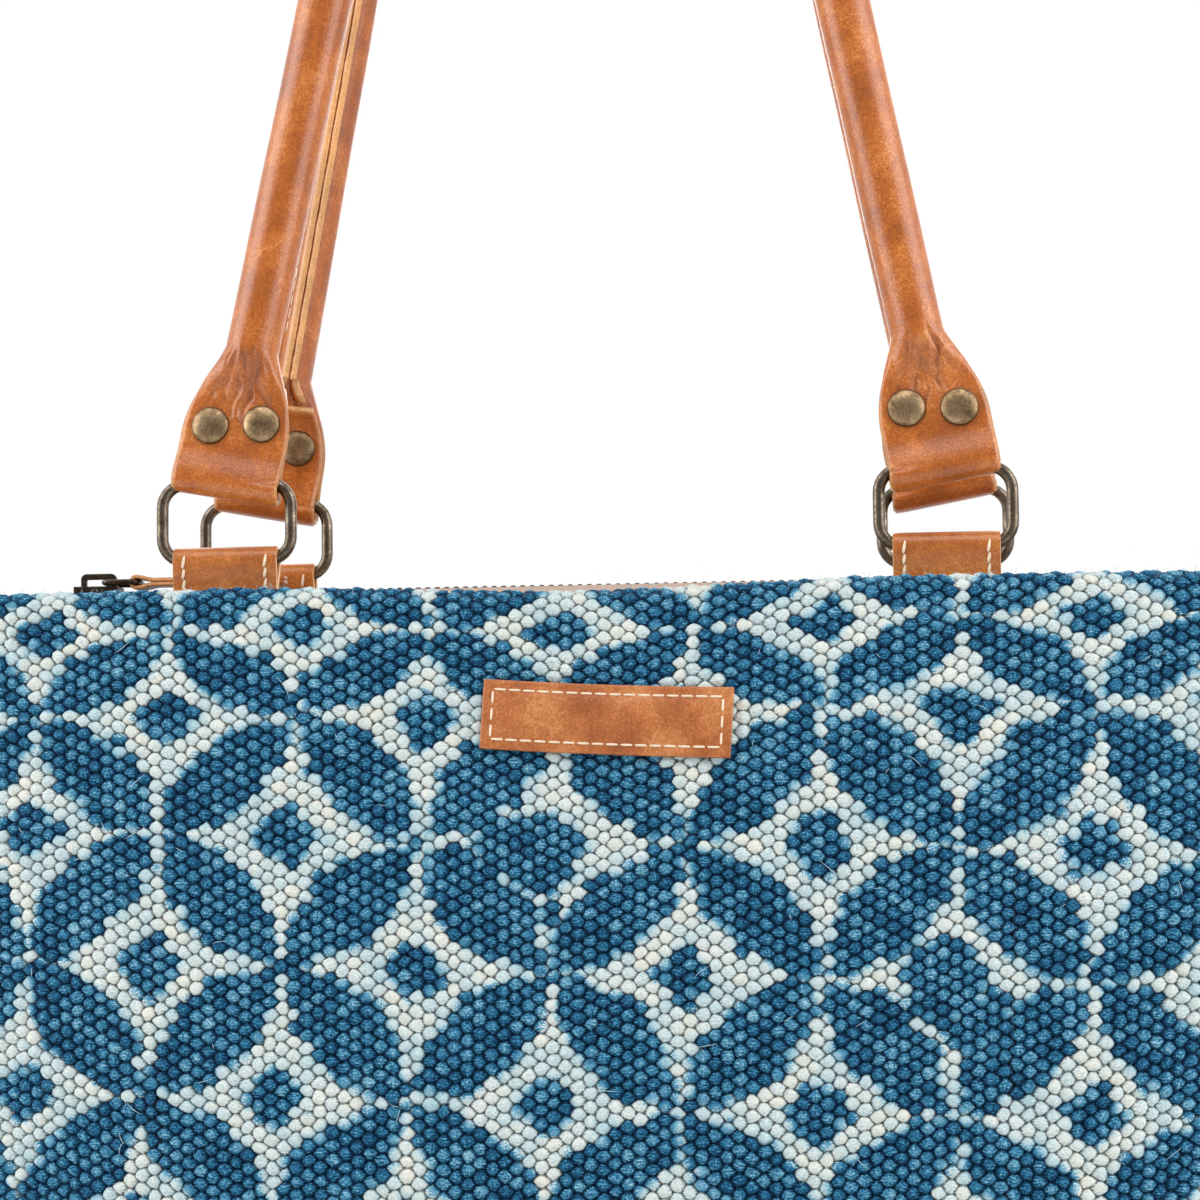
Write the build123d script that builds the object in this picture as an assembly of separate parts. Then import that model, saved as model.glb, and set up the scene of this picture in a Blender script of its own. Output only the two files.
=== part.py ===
from build123d import *
import os
from math import asin, atan, copysign, cos, degrees, dist, pi, radians, sin, sqrt

os.makedirs("parts", exist_ok=True)

# Bag body: two panels of thick cloth, wide at the mouth, deep at the base
bag_height = 350.0
base_half_width = 160.0
mouth_half_width = 216.0
widening_power = 1.15
base_half_depth = 58.0
belly_half_depth = 66.0
mouth_half_depth = 38.0
end_power = 5.0
base_tip_power = 2.2
mouth_tip_power = 1.8
cloth_thickness = 3.6
base_edge_radius = 14.0
hem_height = 26.0
outline_steps = 14
edge_shares = (0.04, 0.3, 1.0)
level_shares = (0.34, 0.64)
weave_ridges = 58
weave_depth = 0.9
fine_steps = 400

# Leather loops at the mouth and the wire rings that hang in them
attachment_x = 95.5
loop_width = 28.0
loop_leather = 1.6
loop_leg_length = 30.0
lower_bar_rise = 8.3
ring_width = 38.0
ring_height = 24.0
ring_wire_radius = 1.7
ring_corner_radius = 7.7
ring_sides = 10
ring_corner_steps = 3
bore_clearance = 0.3
bore_sides = 12
fold_sides = 20
sewn_clearance = 0.15
hem_clearance = 0.5

# Rolled leather handles
roll_radius = 7.25
roll_sides = 12
crest_steps = 10
seam_width = 3.4
seam_rise = 3.0
tab_width = 29.0
tab_shoulder_width = 25.0
tab_leather = 2.2
tab_thickness = 4.8
tab_straight_height = 9.0
tab_shoulder_height = 23.0
neck_height = 36.0
neck_x = 88.9
leg_lean_deg = 11.2
leg_length = 138.6
handle_gap = 0.6
neck_overlap = 1.5
neck_share = 0.985
shoulder_power = 1.3
shoulder_squareness = 6.0

# Rivets through the tabs
rivet_head_radius = 5.0
rivet_head_height = 2.0
rivet_rim_height = 0.7
rivet_crown_taper_deg = 54.0
rivet_sides = 10
rivet_shank_radius = 1.6
rivet_spacing = 13.8
rivet_height = 15.5

# Zip across the mouth
zip_rise = 1.0
zip_half_length = 150.0
tape_thickness = 1.0
tape_level_half_width = 9.0
tape_outer_drop = 5.0
tooth_pitch = 10.0
tooth_length = 6.0
tooth_inner_y = 0.8
tooth_root_y = 2.4
tooth_outer_y = 3.0
tooth_height = 2.4
slider_x = -137.0
slider_length = 12.0
slider_front_width = 10.0
slider_rear_width = 8.6
slider_plate = 1.5
slider_gap = 0.3
slider_flange = 0.9
slider_post_width = 1.0
slider_post_length = 3.0
bail_length = 10.0
bail_inner_rise = 2.2
bail_wire = 1.6

# Pull on the slider
pull_ring_length = 10.5
pull_ring_width = 11.8
pull_wire_radius = 0.75
pull_corner_radius = 1.8
pull_width = 8.0
pull_length = 42.0
pull_leather = 1.3

# Leather patch on the front
patch_width = 65.0
patch_height = 18.4
patch_thickness = 1.6
patch_corner_radius = 1.5
patch_x = 7.5
patch_drop = 35.7
patch_turn_deg = -1.4

cut_overrun = 2.0


def half_width(share):
    return base_half_width + (mouth_half_width - base_half_width) * share**widening_power


def half_depth(share):
    rest = 1 - share
    return base_half_depth * rest**2 + 2 * belly_half_depth * share * rest + mouth_half_depth * share**2


def tip_power(share):
    return mouth_tip_power + (base_tip_power - mouth_tip_power) * (1 - share)


def edge_inset(level):
    """How far the rounded lower edge is drawn in at one level."""
    below = max(0.0, base_edge_radius - level)
    return base_edge_radius - sqrt(base_edge_radius**2 - below**2)


def depth_at(x, share, inset):
    along = min(1.0, abs(x) / (half_width(share) - inset))
    return (half_depth(share) - inset) * (1 - along**end_power) ** (1 / tip_power(share))


def outline_points(level, inset, shape_level=None):
    """Points along the bag's front at one level, from its left side to its right side, drawn in by inset."""
    share = (level if shape_level is None else shape_level) / bag_height
    points = []
    for step in range(outline_steps + 1):
        x = (half_width(share) - inset) * sin(pi * (step / outline_steps - 0.5))
        points.append((x, -depth_at(x, share, inset), level))
    return points


def front_outline(level, inset, shape_level=None):
    return make_face(Polyline(*outline_points(level, inset, shape_level), close=True))


def ridged_points(level, inset):
    """Points at even steps along the bag's front, every second one sunk to leave the weave's ridges."""
    share = level / bag_height
    turns = [pi * (step / fine_steps - 0.5) for step in range(fine_steps + 1)]
    edge_x = [(half_width(share) - inset) * sin(turn) for turn in turns]
    edge = [(x, -depth_at(x, share, inset)) for x in edge_x]
    runs = [0.0]
    for start, end in zip(edge, edge[1:]):
        runs.append(runs[-1] + dist(start, end))
    points = []
    place = 0
    for step in range(2 * weave_ridges + 1):
        run = runs[-1] * step / (2 * weave_ridges)
        while place < fine_steps - 1 and runs[place + 1] < run:
            place += 1
        part = (run - runs[place]) / (runs[place + 1] - runs[place])
        x = edge_x[place] + part * (edge_x[place + 1] - edge_x[place])
        sunk = weave_depth if step % 2 else 0.0
        depth = depth_at(x, share, inset) - sunk
        points.append((x, -max(0.0, depth), level))
    return points


def flat_face(points):
    return make_face(Polyline(*points, close=True))


def triangle_skin(rows):
    """Flat triangles between rows of points."""
    faces = []
    for lower, upper in zip(rows, rows[1:]):
        for place in range(len(lower) - 1):
            faces.append(flat_face((lower[place], lower[place + 1], upper[place + 1])))
            faces.append(flat_face((lower[place], upper[place + 1], upper[place])))
    return faces


def half_shell(outer, inner):
    """Solid between two skins on one side of the bag, closed along its upper, lower and side edges."""
    faces = triangle_skin(outer) + triangle_skin(inner)
    for end in (0, -1):
        faces.append(flat_face(outer[end] + inner[end][::-1]))
        faces.append(flat_face([row[end] for row in outer] + [row[end] for row in reversed(inner)]))
    return Solid(Shell(faces))


# Front panel: half shell with the ridges of its weave, and the back panel sewn to it along the middle
hem_level = bag_height - hem_height
wall_levels = [share * bag_height for share in level_shares] + [hem_level, bag_height]
edge_levels = [share * base_edge_radius for share in edge_shares]
lowest_inset = edge_inset(edge_levels[0])
outer_rows = [ridged_points(level, edge_inset(level)) for level in edge_levels + wall_levels]
outer_rows[0] = [(x, y, 0.0) for x, y, z in outer_rows[0]]
inner_rows = [outline_points(0.0, lowest_inset + cloth_thickness)]
inner_rows += [outline_points(level, cloth_thickness) for level in [base_edge_radius + cloth_thickness] + wall_levels]
front_panel = half_shell(outer_rows, inner_rows)
back_panel = mirror(front_panel, Plane.XZ)

# Base: a flat piece between the turned-under edges of the panels
base_half = extrude(front_outline(0.0, lowest_inset + cloth_thickness + hem_clearance), cloth_thickness)
base_panel = base_half + mirror(base_half, Plane.XZ)

# Hems: the second layer of cloth inside the mouth
hem_levels = (hem_level, bag_height)
hem_outer_rows = [outline_points(level, cloth_thickness + sewn_clearance) for level in hem_levels]
hem_inner_rows = [outline_points(level, 2 * cloth_thickness) for level in hem_levels]
front_hem = half_shell(hem_outer_rows, hem_inner_rows)
back_hem = mirror(front_hem, Plane.XZ)

# Loops: strips folded over a bar and sewn flat against the hem
bar_z = bag_height + lower_bar_rise
bore_radius = ring_wire_radius + bore_clearance
loop_outer_radius = bore_radius + loop_leather
leg_thickness = 2 * loop_leather
loop_edge_x = attachment_x + loop_width / 2
leg_drop = loop_leg_length - lower_bar_rise
hem_inner_y = depth_at(loop_edge_x, 1.0, 2 * cloth_thickness)
hem_lower_y = depth_at(loop_edge_x, 1.0 - leg_drop / bag_height, 2 * cloth_thickness)
lean_slope = (hem_lower_y - hem_inner_y) / leg_drop
hem_lean_deg = degrees(atan(lean_slope))
bar_y = hem_inner_y - hem_clearance - leg_thickness / 2 / cos(radians(hem_lean_deg))
bar_y -= lower_bar_rise * lean_slope
corner_radius = ring_corner_radius - ring_wire_radius
bar_straight_half = ring_width / 2 - ring_corner_radius


def rod_along_x(radius, length, sides):
    section = Plane((-length / 2, 0, 0), x_dir=(0, 1, 0), z_dir=(1, 0, 0)) * RegularPolygon(radius, sides)
    return extrude(section, length)


def bar_bore(half_length):
    """Room for a ring bar in folded leather: straight in the middle, flared where the ring's corners turn."""
    inner = corner_radius - ring_wire_radius
    flare = corner_radius - sqrt(inner**2 - (half_length - bar_straight_half) ** 2) + bore_clearance
    reach = half_length + cut_overrun
    stations = ((-reach, flare), (-half_length, flare), (-bar_straight_half, bore_radius))
    stations += tuple((-x, radius) for x, radius in reversed(stations))
    rings = []
    for x, radius in stations:
        turns = [2 * pi * side / bore_sides for side in range(bore_sides + 1)]
        wide = radius / cos(pi / bore_sides)
        rings.append([(x, wide * cos(turn), wide * sin(turn)) for turn in turns])
    faces = [flat_face(rings[0][:-1]), flat_face(rings[-1][:-1])]
    for near, far in zip(rings, rings[1:]):
        for side in range(bore_sides):
            faces.append(flat_face((near[side], near[side + 1], far[side + 1], far[side])))
    return Solid(Shell(faces))


loop_middle = Pos(0, 0, -loop_leg_length / 2) * Box(loop_width, leg_thickness, loop_leg_length)
loop_leg = Rot(-hem_lean_deg, 0, 0) * loop_middle
loop = rod_along_x(loop_outer_radius, loop_width, fold_sides) + loop_leg - bar_bore(loop_width / 2)
front_left_loop = Pos(-attachment_x, -bar_y, bar_z) * loop
front_right_loop = Pos(attachment_x, -bar_y, bar_z) * loop
back_left_loop = mirror(front_left_loop, Plane.XZ)
back_right_loop = mirror(front_right_loop, Plane.XZ)

# Rings: wire bent to a rounded rectangle
bar_to_bar = ring_height - 2 * ring_wire_radius
ring_points = []
for corner, (side_x, side_z) in enumerate(((1, 1), (-1, 1), (-1, -1), (1, -1))):
    for step in range(ring_corner_steps + 1):
        turn = pi / 2 * (corner + step / ring_corner_steps)
        middle_x = side_x * (ring_width / 2 - ring_corner_radius)
        middle_z = side_z * (ring_height / 2 - ring_corner_radius)
        ring_points.append((middle_x + corner_radius * cos(turn), 0, middle_z + corner_radius * sin(turn)))
ring_start = tuple((a + b) / 2 for a, b in zip(ring_points[-1], ring_points[0]))
ring_path = Polyline(ring_start, *ring_points, ring_start)
ring_section = Plane(ring_start, x_dir=(0, 1, 0), z_dir=(0, 0, 1)) * RegularPolygon(ring_wire_radius, ring_sides)
ring = sweep(ring_section, path=ring_path, transition=Transition.RIGHT)
ring_middle_z = bar_z + bar_to_bar / 2
front_left_ring = Pos(-attachment_x, -bar_y, ring_middle_z) * ring
front_right_ring = Pos(attachment_x, -bar_y, ring_middle_z) * ring
back_left_ring = Pos(-attachment_x, bar_y, ring_middle_z) * ring
back_right_ring = Pos(attachment_x, bar_y, ring_middle_z) * ring

# Handles: one strip, rolled and sewn, flattened at each end into a tab folded round the ring's upper bar
lean = radians(leg_lean_deg)
bend_x = neck_x - leg_length * sin(lean)
bend_z = neck_height + leg_length * cos(lean)
crest_radius = bend_x / cos(lean)
crest_z = bend_z - crest_radius * sin(lean) + crest_radius
crest_middle_z = crest_z - crest_radius
crest_half_turn = pi / 2 - lean
roll_points = [(-neck_x, 0, neck_height)]
for step in range(crest_steps + 1):
    turn = crest_half_turn * (2 * step / crest_steps - 1)
    roll_points.append((crest_radius * sin(turn), 0, crest_middle_z + crest_radius * cos(turn)))
roll_points.append((neck_x, 0, neck_height))
roll_path = Polyline(*roll_points)
roll_plane = Plane((-neck_x, 0, neck_height), x_dir=(0, 1, 0), z_dir=(sin(lean), 0, cos(lean)))
seam_reach = roll_radius + seam_rise
seam_section = Pos(seam_reach / 2, 0) * Rectangle(seam_reach, seam_width)
roll = sweep(roll_plane * RegularPolygon(roll_radius, roll_sides), path=roll_path, transition=Transition.RIGHT)
roll += sweep(roll_plane * seam_section, path=roll_path, transition=Transition.RIGHT)


def tab_middle(height):
    return attachment_x + (neck_x - attachment_x) * max(0.0, height) / neck_height


def side_points(side):
    levels = (0.0, tab_straight_height, tab_shoulder_height)
    widths = (tab_width, tab_width, tab_shoulder_width)
    return [(tab_middle(level) + side * width / 2, level) for level, width in zip(levels, widths)]


tab_outline = Polyline(*side_points(-1), *reversed(side_points(1)), close=True)
tab = extrude(Plane.XZ * make_face(tab_outline), tab_thickness / 2, both=True)
shoulder_shares = (0.0, 0.4, 0.72, 1.0)
neck_width = 2 * roll_radius * neck_share
shoulder_rings = []
for share in shoulder_shares:
    level = tab_shoulder_height + (neck_height + neck_overlap - tab_shoulder_height) * share
    width = tab_shoulder_width + (neck_width - tab_shoulder_width) * share**shoulder_power
    depth = tab_thickness + (neck_width - tab_thickness) * share**shoulder_power
    roundness = 2 / (shoulder_squareness + (2 - shoulder_squareness) * share)
    ring = []
    for step in range(roll_sides + 1):
        turn = 2 * pi * (step % roll_sides + 0.5) / roll_sides
        across = copysign(abs(cos(turn)) ** roundness, cos(turn))
        through = copysign(abs(sin(turn)) ** roundness, sin(turn))
        ring.append((tab_middle(level) + width / 2 * across, depth / 2 * through, level))
    shoulder_rings.append(ring)
shoulder_ends = [flat_face(shoulder_rings[end][:-1]) for end in (0, -1)]
tab += Solid(Shell(triangle_skin(shoulder_rings) + shoulder_ends))
fold_radius = bore_radius + tab_leather
tab += Pos(attachment_x, 0, 0) * rod_along_x(fold_radius, tab_width, fold_sides)
tab -= Pos(attachment_x, 0, 0) * bar_bore(tab_width / 2)
rivet_middles = [tab_middle(rivet_height) + side * rivet_spacing / 2 for side in (-1, 1)]
rivet_hole = extrude(RegularPolygon(rivet_shank_radius, rivet_sides), tab_thickness / 2, both=True)
for x in rivet_middles:
    tab -= Pos(x, 0, rivet_height) * Rot(90, 0, 0) * rivet_hole
handle_leather = roll + tab + mirror(tab, Plane.YZ)

# Rivets: a shank through both layers with a domed cap at each end
rim_top = tab_thickness / 2 + rivet_rim_height
cap_outline = RegularPolygon(rivet_head_radius, rivet_sides)
cap = extrude(Pos(0, 0, tab_thickness / 2) * cap_outline, rivet_rim_height)
crown_height = rivet_head_height - rivet_rim_height
cap += extrude(Pos(0, 0, rim_top) * cap_outline, crown_height, taper=rivet_crown_taper_deg)
rivet_shank = extrude(RegularPolygon(rivet_shank_radius, rivet_sides), tab_thickness / 2, both=True)
rivet = Rot(90, 0, 0) * (rivet_shank + cap + mirror(cap, Plane.XY))
rivet_spots = [side * x for side in (-1, 1) for x in rivet_middles]
rivets = Compound([Pos(x, 0, rivet_height) * rivet for x in rivet_spots])

upper_bar_z = bar_z + bar_to_bar
handle_lean = degrees(asin((bar_y - seam_reach - handle_gap / 2) / crest_z))
front_place = Pos(0, -bar_y, upper_bar_z) * Rot(-handle_lean, 0, 0)
front_handle = front_place * handle_leather
front_handle_rivets = front_place * rivets
back_handle = Rot(0, 0, 180) * front_handle
back_handle_rivets = Rot(0, 0, 180) * front_handle_rivets

# Zip: two tapes sewn inside the hems, their teeth facing each other along the middle
zip_z = bag_height + zip_rise
tape_edge_z = zip_z - tape_outer_drop
mouth_inner_half = mouth_half_depth
tape_half = tape_thickness / 2
tape_profile = Polyline(
    (-sewn_clearance / 2, zip_z + tape_half),
    (-tape_level_half_width, zip_z + tape_half),
    (-mouth_inner_half, tape_edge_z + tape_half),
    (-mouth_inner_half, tape_edge_z - tape_half),
    (-tape_level_half_width, zip_z - tape_half),
    (-sewn_clearance / 2, zip_z - tape_half),
    close=True,
)
tape_band = extrude(Plane.YZ * make_face(tape_profile), mouth_half_width, both=True)
tape_level = tape_edge_z - tape_outer_drop
mouth_prism = extrude(
    front_outline(tape_level, 2 * cloth_thickness + hem_clearance, bag_height), 4 * tape_outer_drop
)
zip_tape_front = tape_band & mouth_prism
chain_slot = Box(2 * zip_half_length, 2 * tooth_outer_y, 4 * tape_thickness)
zip_tape_front -= Pos(0, 0, zip_z) * chain_slot
leg_room_size = (loop_width + 2 * sewn_clearance, leg_thickness + 2 * sewn_clearance, loop_leg_length)
leg_room = Rot(-hem_lean_deg, 0, 0) * Pos(0, 0, -loop_leg_length / 2) * Box(*leg_room_size)
for side in (-1, 1):
    zip_tape_front -= Pos(side * attachment_x, -bar_y, bar_z) * leg_room
zip_tape_back = mirror(zip_tape_front, Plane.XZ)

tooth_count = int(2 * zip_half_length / tooth_pitch)
root_width = tooth_outer_y - tooth_root_y
teeth_outline = Pos(0, -(tooth_outer_y + tooth_root_y) / 2) * Rectangle(2 * zip_half_length, root_width)
tooth_middle = Pos(0, -(tooth_outer_y + tooth_inner_y) / 2)
tooth_shape = Rectangle(tooth_length, tooth_outer_y - tooth_inner_y)
teeth_outline += tooth_middle * GridLocations(tooth_pitch, 0, tooth_count, 1) * tooth_shape
zip_teeth_front = extrude(Pos(0, 0, zip_z - tooth_height / 2) * teeth_outline, tooth_height)
zip_teeth_back = mirror(zip_teeth_front, Plane.XZ)

# Slider: two plates with turned-in sides, joined by the post that parts the teeth, and a bail on top
plate_inner = tooth_height / 2 + slider_gap
plate_outline = make_face(
    Polyline(
        (-slider_length / 2, -slider_front_width / 2),
        (0, -slider_front_width / 2),
        (slider_length / 2, -slider_rear_width / 2),
        (slider_length / 2, slider_rear_width / 2),
        (0, slider_front_width / 2),
        (-slider_length / 2, slider_front_width / 2),
        close=True,
    )
)
top_plate = extrude(Pos(0, 0, plate_inner) * plate_outline, slider_plate)
flange_height = plate_inner - tape_half - slider_gap
flange_ring = extrude(Pos(0, 0, tape_half + slider_gap) * plate_outline, flange_height)
flange_room = Box(2 * slider_length, slider_rear_width - 2 * slider_flange, 4 * plate_inner)
top_plate += flange_ring - flange_room
slider = top_plate + mirror(top_plate, Plane.XY)
post_x = -slider_length / 2 + slider_post_length / 2
slider += Pos(post_x, 0, 0) * Box(slider_post_length, slider_post_width, 2 * plate_inner)
bail_z = plate_inner + slider_plate
bail_height = bail_inner_rise + bail_wire
bail_block = Pos(0, 0, bail_z + bail_height / 2) * Box(bail_length, bail_wire, bail_height)
bail_block = fillet(bail_block.edges().filter_by(Axis.Y).group_by(Axis.Z)[-1], bail_wire)
bail_room_height = bail_inner_rise + cut_overrun
bail_room_z = bail_z + bail_inner_rise - bail_room_height / 2
bail_room = Pos(0, 0, bail_room_z) * Box(bail_length - 2 * bail_wire, 2 * bail_wire, bail_room_height)
bail_room -= Pos(0, 0, bail_z - cut_overrun) * Box(slider_length, slider_length, 2 * cut_overrun)
slider += bail_block - bail_room
zip_slider = Pos(slider_x, 0, zip_z) * slider

# Pull: a small wire ring under the bail, and a leather strip folded round its far bar
pull_bar_x = bail_length / 2 - bail_wire - pull_wire_radius - slider_gap
pull_z = bail_z + pull_wire_radius + slider_gap
pull_path_length = pull_ring_length - 2 * pull_wire_radius
pull_path_width = pull_ring_width - 2 * pull_wire_radius
pull_cut = pull_corner_radius - pull_wire_radius
pull_half = pull_path_width / 2
pull_ring_points = [
    (0, -pull_half + pull_cut),
    (pull_cut, -pull_half),
    (pull_path_length - pull_cut, -pull_half),
    (pull_path_length, -pull_half + pull_cut),
    (pull_path_length, pull_half - pull_cut),
    (pull_path_length - pull_cut, pull_half),
    (pull_cut, pull_half),
    (0, pull_half - pull_cut),
]
pull_ring_path = Polyline((0, 0), *reversed(pull_ring_points), (0, 0))
pull_section = Plane((0, 0, 0), z_dir=(0, 1, 0)) * RegularPolygon(pull_wire_radius, ring_sides)
pull_ring = sweep(pull_section, path=pull_ring_path, transition=Transition.RIGHT)
zip_pull_ring = Pos(slider_x + pull_bar_x, 0, zip_z + pull_z) * pull_ring

pull_bore = pull_wire_radius + bore_clearance
turned = Rot(0, 0, 90)
pull_fold = turned * rod_along_x(pull_bore + pull_leather, pull_width, bore_sides)
pull_strip = Pos(pull_length / 2, 0, 0) * Box(pull_length, pull_width, 2 * pull_leather)
pull_strip = chamfer(pull_strip.edges().filter_by(Axis.Z).group_by(Axis.X)[-1], pull_width / 4)
pull_room = turned * rod_along_x(pull_bore / cos(pi / bore_sides), pull_width + cut_overrun, bore_sides)
pull = pull_fold + pull_strip - pull_room
zip_pull = Pos(slider_x + pull_bar_x + pull_path_length, 0, zip_z + pull_z) * pull

# Patch: flat leather sewn on the leaning face of the front panel
patch_share = (bag_height - patch_drop) / bag_height
patch_slope = 2 * (belly_half_depth - base_half_depth) * (1 - patch_share)
patch_slope += 2 * (mouth_half_depth - belly_half_depth) * patch_share
patch_lean_deg = degrees(atan(-patch_slope / bag_height))
patch_plate = Box(patch_width, patch_thickness, patch_height)
patch_plate = fillet(patch_plate.edges().filter_by(Axis.Y), patch_corner_radius)
patch_stand = patch_thickness / 2 + sewn_clearance
patch_y = -half_depth(patch_share) - patch_stand / cos(radians(patch_lean_deg))
patch_turned = Rot(0, -patch_turn_deg, 0) * patch_plate
patch = Pos(patch_x, patch_y, bag_height - patch_drop) * Rot(-patch_lean_deg, 0, 0) * patch_turned

nodes = {
    "front_panel": front_panel,
    "back_panel": back_panel,
    "base_panel": base_panel,
    "front_hem": front_hem,
    "back_hem": back_hem,
    "front_left_loop": front_left_loop,
    "front_right_loop": front_right_loop,
    "back_left_loop": back_left_loop,
    "back_right_loop": back_right_loop,
    "front_left_ring": front_left_ring,
    "front_right_ring": front_right_ring,
    "back_left_ring": back_left_ring,
    "back_right_ring": back_right_ring,
    "front_handle": front_handle,
    "front_handle_rivets": front_handle_rivets,
    "back_handle": back_handle,
    "back_handle_rivets": back_handle_rivets,
    "zip_tape_front": zip_tape_front,
    "zip_tape_back": zip_tape_back,
    "zip_teeth_front": zip_teeth_front,
    "zip_teeth_back": zip_teeth_back,
    "zip_slider": zip_slider,
    "zip_pull_ring": zip_pull_ring,
    "zip_pull": zip_pull,
    "patch": patch,
}
for name, shape in nodes.items():
    export_step(shape, f"parts/{name}.step")

# Places that joints and mounts are stated from
print("lower bar", bar_y, bar_z)
print("upper bar", bar_y, upper_bar_z)
print("crest", crest_z, "lean", handle_lean)
print("pull bar", slider_x + pull_bar_x, zip_z + pull_z)
print("pull far bar", slider_x + pull_bar_x + pull_path_length)
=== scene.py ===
import math

import bpy
import numpy as np
from mathutils import Matrix, Vector


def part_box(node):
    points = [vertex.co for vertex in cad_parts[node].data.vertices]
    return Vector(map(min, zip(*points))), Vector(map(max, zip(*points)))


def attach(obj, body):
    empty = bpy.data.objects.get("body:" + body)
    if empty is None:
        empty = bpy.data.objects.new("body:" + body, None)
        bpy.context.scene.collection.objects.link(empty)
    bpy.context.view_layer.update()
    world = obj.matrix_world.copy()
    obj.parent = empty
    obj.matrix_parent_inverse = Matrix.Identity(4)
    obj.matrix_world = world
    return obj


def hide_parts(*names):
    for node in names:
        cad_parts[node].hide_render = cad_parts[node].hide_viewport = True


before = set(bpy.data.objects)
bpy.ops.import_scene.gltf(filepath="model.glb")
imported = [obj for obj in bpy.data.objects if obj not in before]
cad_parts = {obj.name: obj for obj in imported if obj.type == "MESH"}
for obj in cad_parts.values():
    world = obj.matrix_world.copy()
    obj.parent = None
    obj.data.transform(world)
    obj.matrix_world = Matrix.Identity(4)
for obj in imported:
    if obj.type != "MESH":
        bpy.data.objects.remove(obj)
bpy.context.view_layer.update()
mm = 0.001


# Shared by several pieces: meshes with their faces and attributes, colours and materials
def new_piece(name, places, faces, smooth=True):
    """A mesh object at the origin with its places in its mesh."""
    mesh = bpy.data.meshes.new(name)
    mesh.from_pydata([tuple(place) for place in places], [], faces)
    mesh.polygons.foreach_set("use_smooth", [smooth] * len(mesh.polygons))
    piece = bpy.data.objects.new(name, mesh)
    bpy.context.scene.collection.objects.link(piece)
    return piece


def grid_faces(lines, points, start=0):
    """Four-sided faces between lines of points that follow each other."""
    faces = []
    for line in range(lines - 1):
        for point in range(points - 1):
            low = start + line * points + point
            faces.append((low, low + 1, low + points + 1, low + points))
    return faces


def tube_faces(rings, sides, start=0, closed=False, flip=False):
    """Faces round a tube of rings of points, with an end face on each end unless it closes on itself."""
    faces = []
    for ring in range(rings if closed else rings - 1):
        low = start + ring * sides
        high = start + (ring + 1) % rings * sides
        for side in range(sides):
            after = (side + 1) % sides
            quad = (low + side, low + after, high + after, high + side)
            faces.append(quad[:1] + quad[:0:-1] if flip else quad)
    if not closed:
        first = tuple(range(start, start + sides))
        last = tuple(range(start + (rings - 1) * sides, start + rings * sides))
        faces += [first, last[::-1]] if flip else [first[::-1], last]
    return faces


def give_values(piece, name, values, kind="FLOAT", domain="POINT"):
    """Keeps a number or a vector for each point or face of a piece, for its material to read."""
    kept = piece.data.attributes.new(name, kind, domain)
    part = "value" if kind == "FLOAT" else "vector"
    kept.data.foreach_set(part, np.asarray(values, dtype=np.float32).ravel())


def select_only(piece):
    bpy.ops.object.select_all(action="DESELECT")
    bpy.context.view_layer.objects.active = piece
    piece.select_set(True)


def face_outward(piece):
    """Turns every face of a closed piece to the outside."""
    select_only(piece)
    bpy.ops.object.mode_set(mode="EDIT")
    bpy.ops.mesh.select_all(action="SELECT")
    bpy.ops.mesh.normals_make_consistent(inside=False)
    bpy.ops.object.mode_set(mode="OBJECT")


def apply_modifier(piece, kind, **settings):
    """Adds one modifier to a piece and applies it."""
    select_only(piece)
    modifier = piece.modifiers.new(kind.lower(), kind)
    for name, value in settings.items():
        setattr(modifier, name, value)
    bpy.ops.object.modifier_apply(modifier=modifier.name)


def ease_edges(piece, width, sharp_deg):
    """Rounds the edges that are sharper than an angle."""
    sharp = math.radians(sharp_deg)
    apply_modifier(piece, "BEVEL", width=width, segments=2, limit_method="ANGLE", angle_limit=sharp)


def dress(piece, material, body, slot, *nodes):
    """Gives a piece its material, the body it moves with and the solids that it stands for; slot is not used.
    """
    piece.data.materials.append(material)
    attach(piece, body)
    if nodes:
        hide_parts(*nodes)


def smooth_step(low, high, value):
    share = min(1.0, max(0.0, (value - low) / (high - low)))
    return share * share * (3 - 2 * share)


def rgb(code):
    """Linear colour from an sRGB hex value."""
    parts = [int(code[place : place + 2], 16) / 255 for place in (1, 3, 5)]
    linear = [part / 12.92 if part <= 0.04045 else ((part + 0.055) / 1.055) ** 2.4 for part in parts]
    return (*linear, 1.0)


def node_adder(tree):
    """The function that adds nodes to one tree."""

    def add_node(kind, *values, sockets=None, stops=None, **settings):
        """Adds one node and gives its outputs. Values feed its first sockets in order, sockets are others by
        name or number, stops are the places and colours of a ramp, and settings are its properties."""
        node = tree.nodes.new("ShaderNode" + kind)
        for name, value in settings.items():
            setattr(node, name, value)
        for socket, value in (dict(enumerate(values)) | (sockets or {})).items():
            if isinstance(value, bpy.types.NodeSocket):
                tree.links.new(value, node.inputs[socket])
            else:
                node.inputs[socket].default_value = value
        if stops:
            ramp = node.color_ramp.elements
            ramp[0].position, ramp[0].color = stops[0]
            ramp[1].position, ramp[1].color = stops[-1]
            for position, colour in stops[1:-1]:
                ramp.new(position).color = colour
        return node.outputs

    return add_node


def new_material(name):
    """An empty material and the function that adds its nodes."""
    material = bpy.data.materials.new(name)
    material.use_nodes = True
    material.node_tree.nodes.clear()
    return material, node_adder(material.node_tree)


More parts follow.
